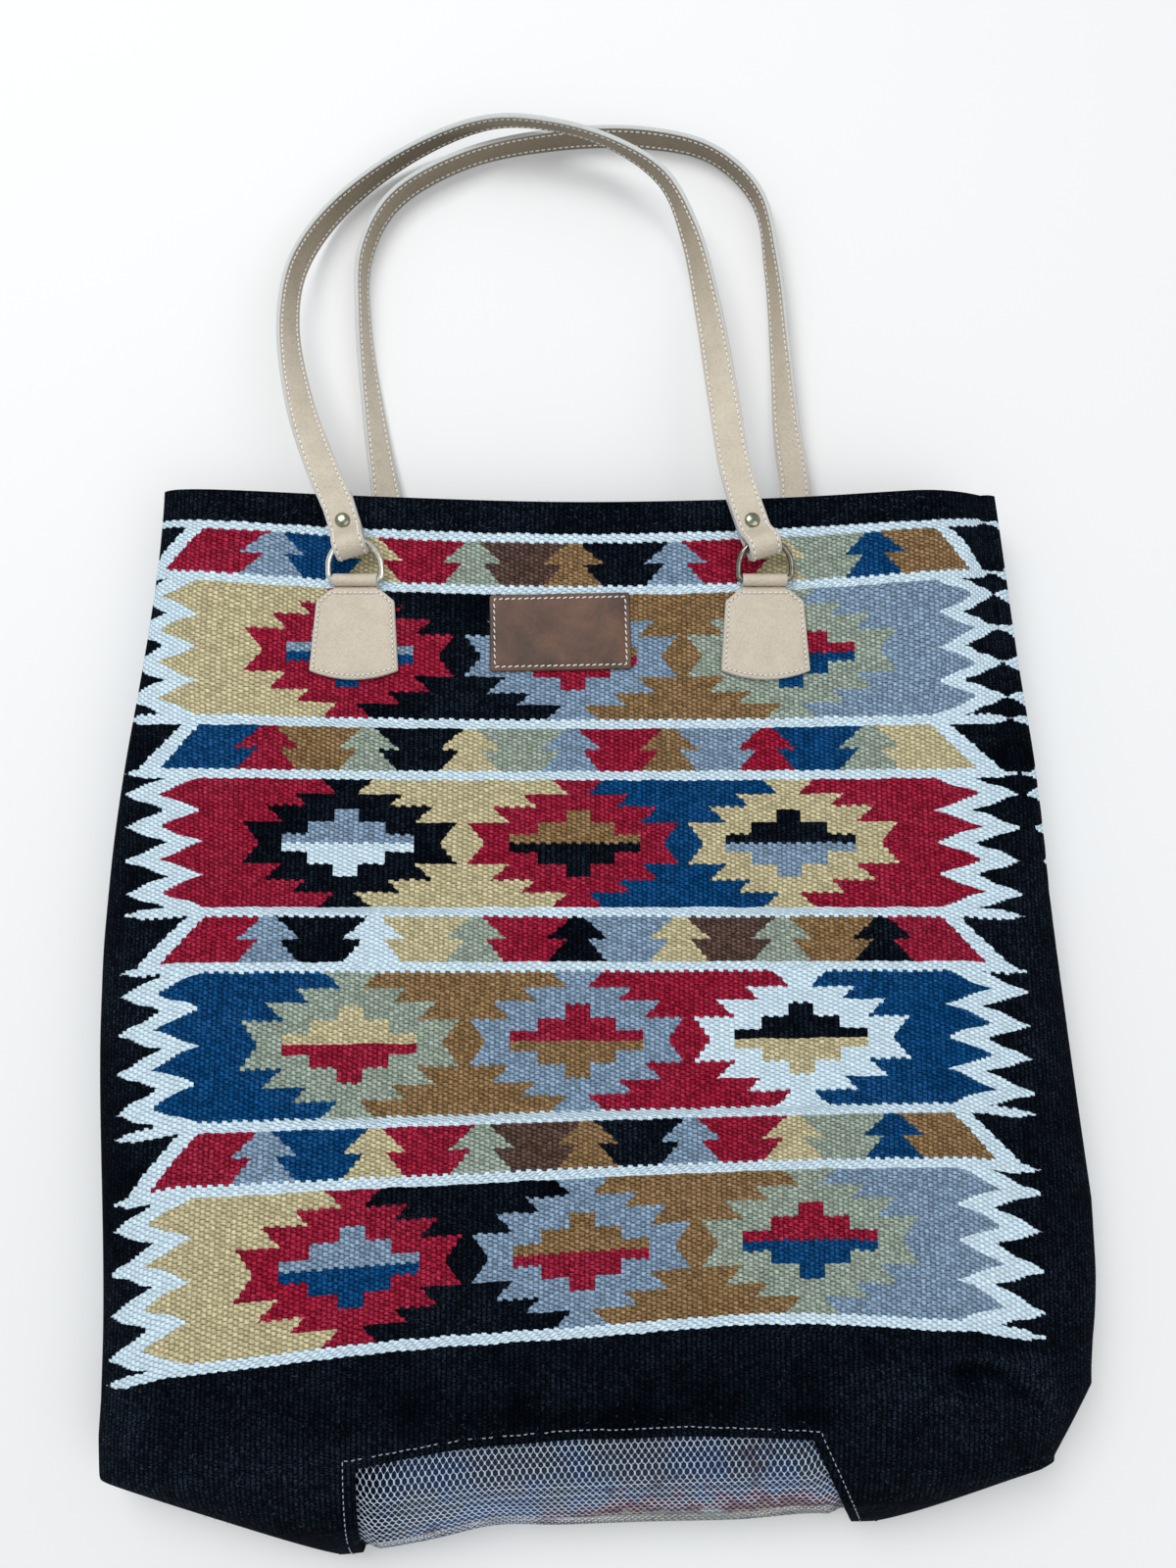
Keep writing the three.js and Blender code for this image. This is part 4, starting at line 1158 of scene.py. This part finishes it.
def make_ring(name, x, side, body, material):
    half, c = RING_WIDTH / 2, RING_CORNER
    straight = RING_HEIGHT - half
    path = [(half - c + c * math.sin(a), c - c * math.cos(a)) for a in np.linspace(0, math.pi / 2, 8)]
    path += [(half * math.cos(a), straight + half * math.sin(a)) for a in np.linspace(0, math.pi, 40)]
    path += [(-half + c - c * math.cos(a), c - c * math.sin(a)) for a in np.linspace(0, math.pi / 2, 8)]
    path += [(t, 0.0) for t in np.linspace(-half + c + 2, half - c - 2, 8)]
    path = np.array(path)
    along = unit(np.roll(path, -1, 0) - np.roll(path, 1, 0))
    out = np.column_stack([along[:, 1], -along[:, 0], np.zeros(len(path))])
    sides = 16
    angle = 2 * math.pi * np.arange(sides) / sides
    middle = np.column_stack([path, np.zeros(len(path))])
    wide, high = np.cos(angle)[:, None], np.array([0, 0, 1]) * np.sin(angle)[:, None]
    points = (middle[:, None] + WIRE / 2 * (out[:, None] * wide + high)).reshape(-1, 3)
    faces = [[i % len(points) for i in (a, d, c, b)] for a, b, c, d in tube(len(path) + 1, sides)]
    y, z = turned(points[:, 1], points[:, 2], side * RING_TILT)
    bar = FRONT_BAR if side > 0 else BACK_BAR
    points = np.column_stack([points[:, 0] + x, y + BAR_Y, z + bar])
    add_piece(name + "_metal", points, faces, material, body, None, name)


def make_rivet(name, place, side, body, material):
    """A domed cap on each face of the doubled strap, with the post between."""
    slack = 0.05
    deep = STRAP + GAP / 2 + slack
    crown = deep + RIVET_RIM
    r, post = RIVET_CAP, RIVET_POST
    profile = [(r - 0.9, -deep - 0.9), (r - 0.15, -deep - 0.6), (r, -deep), (post, slack - deep)]
    profile += [(post, deep - slack), (r, deep)]
    rise = np.linspace(0, math.pi / 2, 10)[:-1]
    profile += [(r * math.cos(a), crown + RIVET_DOME * math.sin(a)) for a in rise]
    turns = 32
    angles = 2 * math.pi * np.arange(turns) / turns
    points = [(out * math.cos(a), out * math.sin(a), z) for out, z in profile for a in angles]
    last, top = len(points) - turns, len(points)
    points.append((0, 0, crown + RIVET_DOME))
    faces = tube(len(profile), turns) + [(last + j, last + (j + 1) % turns, top) for j in range(turns)]
    faces.append(tuple(reversed(range(turns))))
    points = np.array(points) * ((1, 1, 1) if side > 0 else (-1, 1, -1)) + place
    add_piece(name + "_metal", points, faces, material, body, None, name)


def make_label(material):
    w, h, thick = LABEL
    corners = [(-w / 2, -h / 2), (w / 2, -h / 2), (w / 2, h / 2), (-w / 2, h / 2)]
    points, faces, marks, sewn = slab(corners, 1.8, thick, 2.3)

    def put(p):
        x, y = turned(p[:, 0], p[:, 1], LABEL_TURN)
        return np.column_stack([x + LABEL_AT[0], y + LABEL_AT[1], p[:, 2] + FRONT_FACE + GAP])

    add_piece("label_leather", put(points), faces, material, "bag", marks, "label_patch")
    stitched_round("label_stitches", put(sewn), 1, LABEL_STITCH, white_thread, slant=0.45)


white_thread = thread("white_thread", colour("fffdf8"))
tab_thread = thread("tab_thread", colour("fffaf2"))
net_thread = thread("window_thread", colour("b4bdc8"))
beige = leather("beige_leather", colour("d0c4b1"), colour("c6c9c8"), 0.4)
brown = leather("brown_leather", colour("735240"), colour("4d352a"), 0.12, colour("40332f"))
# One metal for all the rings, in a lit copy with painted light for the left ones and a darker copy with
# painted shade for the right ones.
lit_brass = antique("lit_brass", colour("faf7ea"), 0.9)
shaded_brass = antique("shaded_brass", colour("9a9488"), 0.62)
rivet_brass = antique("rivet_brass", colour("abac95"), 0.66)

SETS = (
    ("front", 1, FRONT_TABS, FRONT_ROUTE, (18, 18)),
    ("back", -1, BACK_TABS, BACK_ROUTE, (18, 0)),
)
for which, side, tabs, route, leans in SETS:
    rivets = make_strap(which + "_strap", tabs, side, route, leans, which + "_handle", beige)
    for hand, x, rivet in zip(("left", "right"), tabs, rivets):
        name = which + "_" + hand
        make_tab(name + "_tab", x, side, beige)
        make_ring(name + "_ring", x, side, which + "_rings", lit_brass if hand == "left" else shaded_brass)
        make_rivet(name + "_rivet", rivet, side, which + "_handle", rivet_brass)
make_label(brown)


# Net window


NET_PITCH, NET_STEP, NET_YARN, NET_UNDER, NET_DEEP = 1.6, 2.2, 0.46, 7, 0.9
# Middle, half width and depth of the places where the slack net draws in at the fold.
NET_SLACK = ((-36, 22, 4.3), (116, 26, 5.2))
LINE_STEP, BASE_TURNS, LINE_SHARES = 2.0, np.linspace(0.1, 0.995, 40), np.linspace(-1, 1, 601)
# Size, length and start of its yarns' bunching, how far from the fold its painted glints fade out, and how
# far from the fold it is patched.
NET_BUNCHES, NET_GLINT_FADE, NET_PATCHED, NET_SINK = ((1.3, 6.5, 0), (0.6, 2.9, 1)), 9, 32, 10
# The slack cloth behind the net: how deep it lies above and at the fold, rows past the fold, and thickness.
FOLD_DEPTH, FOLD_PAST, FOLD_CLOTH = (13.0, 2.3), 26, 1.2


def base_rows():
    """The base from the front's window edge round the fold to the back's: lines of points by their X."""
    past = NET_UNDER + 4
    xs = np.arange(-WINDOW_LEFT - past, WINDOW_RIGHT + WINDOW_FLARE + past + 1, LINE_STEP)
    lines, normals = [], []
    for front, angles in ((True, BASE_TURNS), (False, BASE_TURNS[::-1])):
        for turn in angles:
            k = np.full(len(LINE_SHARES), 1 + turn)
            points = skin(k, LINE_SHARES, front)[:, :3]
            out = skin_normal(k, LINE_SHARES, front)
            keep = slice(int(np.argmin(points[:, 0])), int(np.argmax(points[:, 0])) + 1)
            line = between(xs, points[keep, 0], points[keep])
            for middle, half, depth in NET_SLACK:
                line[:, 1] += depth * np.exp(-(((xs - middle) / half) ** 2)) * turn**2
            lines.append(line)
            normals.append(unit(between(xs, points[keep, 0], out[keep])))
    return xs, np.array(lines), np.array(normals)


def make_net(material, xs, lines, normals):
    """Wavy yarns side by side, knotted to each neighbour by turns, so that six-sided holes stay open."""
    down = measured(lines[:, len(xs) // 2])
    b = np.linspace(0, down[-1], int(down[-1] / NET_STEP * 3))
    rows = np.interp(b, down, np.arange(len(down)))
    bunched = b + sum(far * np.sin(b / long + start) for far, long, start in NET_BUNCHES)
    wave = np.clip(2.0 * np.cos(math.pi * bunched / NET_STEP), -1, 1)
    # Painted glints at the knots, fading out near the fold.
    from_fold = np.abs(b - down[-1] / 2)
    glint = np.abs(wave) * part(from_fold / NET_GLINT_FADE)
    near = part(1 - from_fold / NET_PATCHED)
    all_points, all_faces, all_glints, all_near = [], [], [], []
    start = 0
    for column in range(1, int((xs[-1] - xs[0]) / NET_PITCH) - 2):
        middle = xs[0] + column * NET_PITCH
        sway = middle + (-1) ** column * (NET_PITCH - 0.8 * NET_YARN) / 2 * wave
        i = np.clip(rows.astype(int), 0, len(down) - 2)
        j = np.clip(((sway - xs[0]) / LINE_STEP).astype(int), 0, len(xs) - 2)
        t, u = (rows - i)[:, None], ((sway - xs[0]) / LINE_STEP - j)[:, None]
        points, up = [
            mix(mix(grid[i, j], grid[i, j + 1], u), mix(grid[i + 1, j], grid[i + 1, j + 1], u), t)
            for grid in (lines, normals)
        ]
        up = unit(up)
        open_x = np.minimum(points[:, 0] + WINDOW_LEFT, window_right(points[:, 1]) - points[:, 0])
        open_y = window_edge(points[:, 0]) - points[:, 1]
        clear = part(np.minimum(open_x, open_y) / NET_SINK)
        depth = mix(CLOTH + NET_DEEP, NET_DEEP, clear * clear * (3 - 2 * clear))
        points = points - up * depth[:, None]
        keep = (open_x > -NET_UNDER) & (open_y > -NET_UNDER)
        edges = np.flatnonzero(np.diff(np.concatenate([[0], keep.astype(int), [0]])))
        for first, last in zip(edges[::2], edges[1::2]):
            if last - first < 5:
                continue
            thick = NET_YARN * (0.8 + 0.4 * np.abs(wave[first:last]))
            piece, faces = runs([points[first:last]], [up[first:last]], thick, thick, 3)
            all_points.append(piece)
            all_faces += [tuple(start + i for i in f) for f in faces]
            all_glints.append(np.repeat(glint[first:last], 3))
            all_near.append(np.repeat(near[first:last], 3))
            start += len(piece)
    marks = {"knot_glint": np.concatenate(all_glints), "fold": np.concatenate(all_near)}
    add_piece("net", np.concatenate(all_points), all_faces, material, "bag", marks, "net_window")


def make_inner_fold(material, lines, normals):
    """The slack cloth inside the bag that shows through the net."""
    half = len(lines) // 2
    rows = half + FOLD_PAST
    down = part(np.arange(rows) / half)
    depth = mix(*FOLD_DEPTH, down**0.7)[:, None, None]
    outer = lines[:rows] - normals[:rows] * depth
    up = measured(outer[:, outer.shape[1] // 2])
    place = np.zeros_like(outer)
    place[..., 0] = outer[..., 0]
    place[..., 1] = (up[half] - up)[:, None]
    every = np.ones((rows - 1, outer.shape[1] - 1), bool)
    points, faces, used, rim = sheet_faces(outer, outer - normals[:rows] * FOLD_CLOTH, every, FOLD_CLOTH / 3)
    flat = place[used]
    marks = {"weave": np.concatenate([flat, flat, flat[rim]])}
    piece = add_piece("inner_fold", points, faces, material, "bag", marks)


# Inside of the weave: how ragged its fields are, and how far up from the fold its painted shade grows.
RAGGED, RAGGED_SIZE, DRIFT_SIZE, INNER_SHADE_FROM, INNER_SHADE_OVER = 44, 0.11, 0.035, 18, 26


def wrong_side(name):
    """The inside of the weave: broken fields of yarn near the fold, in painted shade further up and towards
    the left.
    """
    material, shader, start = start_material(name, Roughness=0.95, Specular_IOR_Level=0.1)
    weave = start.mark("weave", "Vector")
    across, up, _ = weave.parts()
    y = up + noise(weave, RAGGED_SIZE, 4.0) * RAGGED - RAGGED / 2
    # Painted shade, darker further up inside the bag.
    near = 1 - ((up - INNER_SHADE_FROM) / INNER_SHADE_OVER).limited() * 0.6
    drift = ((noise(weave, DRIFT_SIZE, 2.0) - 0.5) * 9 + 0.5).limited()
    ground = drift.choose(colour("4b5264"), colour("3d5887"))
    edge = ((across + 25) / 50).limited() * 16 - 6
    ground = ((y - edge - 12) / 4).limited().choose(colour("6c3d4a"), ground)
    ground = ((y - edge) / 4).limited().choose(colour("9da397"), ground)
    fibre = noise(weave, 1.2, 2.0)
    # Painted shade, also darker towards the left.
    light = near * (fibre * 1.4 + 0.3) * ((across + 96) / 22).limited(0.12, 1.0)
    feed(shader, Base_Color=shaded(ground, light, light, light), Normal=bump(fibre, 0.6))
    return material


def net_yarn(name):
    """Net: painted glints at its knots, in broad bands, with dull red and pale patches of the cloth behind
    near the fold.
    """
    material, shader, place = start_material(name, Roughness=0.4, Specular_IOR_Level=0.3)
    drift = place.node("ShaderNodeVectorMath", {"operation": "MULTIPLY"}, _0=place, _1=(22.0, 130.0, 1.0))
    # Painted glints at the knots, in broad bands.
    tone = place.mark("knot_glint") * (noise(drift, 1.0, 2.0) * 1.5 + 0.25).limited()
    cool = tone.choose(colour("5d6b82"), colour("d3e0f0"))
    patch = noise(place, 75.0, 4.0, 0.65) - 0.5
    side = ((place.parts()[0] + 0.022) * 25).limited()
    fold = place.mark("fold")
    warm = ((fold + patch * 2.2 + side * 0.5 - 1.0) * 7).limited()
    edge = ((fold + patch * 2.6 + side * 0.5 - 0.72) * 7).limited() * (1 - warm) * 0.55
    dull = edge.choose(cool, colour("6d4348"))
    feed(shader, Base_Color=(warm * side * 0.6).choose(dull, colour("b3ae9a")))
    return material


base_xs, base_lines, base_normals = base_rows()
make_net(net_yarn("net_yarn"), base_xs, base_lines, base_normals)
make_inner_fold(wrong_side("wrong_side"), base_lines, base_normals)


WINDOW_SEWN_LEFT, WINDOW_SEWN_RIGHT, WINDOW_SEWN_TOP = 4.6, 4.4, 4.2


def window_stitches():
    """Running stitches on the cloth round the window, on both halves of the base."""
    lines = []
    start = -WINDOW_LEFT - WINDOW_SEWN_LEFT
    for front in (True, False):
        top = []
        for x in np.linspace(start, WINDOW_RIGHT + WINDOW_SEWN_RIGHT, 60):
            ks = np.linspace(1.0, 1.6, 120)
            ys = np.array([skin(k, share_at(k, x, front), front)[1] for k in ks])
            k = ks[int(np.argmax(ys < window_edge(x) + WINDOW_SEWN_TOP))]
            top.append((k, share_at(k, x, front)))
        left = [(k, share_at(k, start, front)) for k in np.linspace(1.99, top[0][0], 40)]
        downward = np.linspace(top[-1][0], 1.985, 40)
        right = [(k, share_at(k, window_side(k) + WINDOW_SEWN_RIGHT, front)) for k in downward]
        for places in (left, top, right):
            k, share = np.array(places).T
            points, normals, _ = cloth_at(k, share, front)
            lines.append((points, normals))
    stitched("window_stitches", lines, WINDOW_STITCH, net_thread, "bag", skip=0.06)


LINT, LINT_THICK = 320, 0.13


def lint():
    """Loose fibres caught on the black wool at the mouth and the base."""
    bows, ups = [], []
    t = np.linspace(-1, 1, 5)
    while len(bows) < LINT:
        at_mouth = rng.uniform(0.005, 0.04), rng.uniform(-0.9, 0.9)
        at_base = rng.uniform(0.95, 1.5), rng.uniform(-0.95, 0.95)
        k, share = rng.choice((at_mouth, at_base))
        points, normals, _ = cloth_at(np.array([k]), np.array([share]), True)
        (x, y, _), normal = points[0], normals[0]
        if y < window_edge(x) + 2 and -WINDOW_LEFT - 3 < x < WINDOW_RIGHT + WINDOW_FLARE:
            continue
        turn, length, curl = rng.uniform(0, math.pi), rng.uniform(0.3, 1.1), rng.uniform(-0.7, 0.7)
        along = unit(np.cross(normal, (math.cos(turn), math.sin(turn), 0.3)))
        side = np.cross(normal, along)
        rise = 0.35 + 0.5 * (1 - t * t)
        bow = length * (np.outer(t, along) + np.outer(curl * t * t, side))
        bows.append(points[0] + bow + np.outer(rise, normal))
        ups.append(np.tile(normal, (len(t), 1)))
    points, faces = runs(bows, ups, LINT_THICK, LINT_THICK, 3)
    add_piece("lint", points, faces, thread("lint", colour("6d7784")), "bag")


window_stitches()
lint()


# Camera, floor and light

FLOOR_HALF, FLOOR_Z, FLOOR_TONE = 6.0, -0.0005, (0.86, 0.86, 0.86, 1)
SKY_TONE, SKY_POWER = (0.93, 0.97, 1.0, 1), 0.55
# Name, place, size and power of each lamp. All of them face the middle of the floor.
LAMPS = (("key", (-0.7, 1.1, 1.9), 1.2, 26), ("fill", (0.9, -0.6, 1.7), 1.6, 10))
LENS, SENSOR, EYE, EYE_TILT = 27.05, 36, (0.0075, 0.009, 0.620), 7


def add_object(name, data):
    made = bpy.data.objects.new(name, data)
    bpy.context.collection.objects.link(made)
    return made


def add_stage():
    mesh = bpy.data.meshes.new("floor")
    corners = [(x * FLOOR_HALF, y * FLOOR_HALF, 0) for x, y in ((-1, -1), (1, -1), (1, 1), (-1, 1))]
    mesh.from_pydata(corners, [], [(0, 1, 2, 3)])
    mesh.materials.append(start_material("pale_floor", Base_Color=FLOOR_TONE, Roughness=0.9)[0])
    floor = add_object("floor", mesh)
    floor.location.z = FLOOR_Z

    world = bpy.data.worlds.new("studio")
    world.use_nodes = True
    sky = world.node_tree.nodes["Background"]
    sky.inputs[0].default_value = SKY_TONE
    sky.inputs[1].default_value = SKY_POWER
    bpy.context.scene.world = world

    for name, place, size, power in LAMPS:
        light = bpy.data.lights.new(name, "AREA")
        light.size = size
        light.energy = power
        lamp = add_object(name, light)
        lamp.location = place
        x, y, z = place
        lamp.rotation_euler = (math.atan2(math.hypot(x, y), z), 0, math.atan2(-x, y) + math.pi)

    camera = bpy.data.cameras.new("camera")
    camera.lens = LENS
    camera.sensor_width = SENSOR
    eye = add_object("camera", camera)
    eye.location = EYE
    eye.rotation_euler = (math.radians(EYE_TILT), 0, 0)
    bpy.context.scene.camera = eye
    bpy.context.scene.view_settings.view_transform = "Standard"


add_stage()
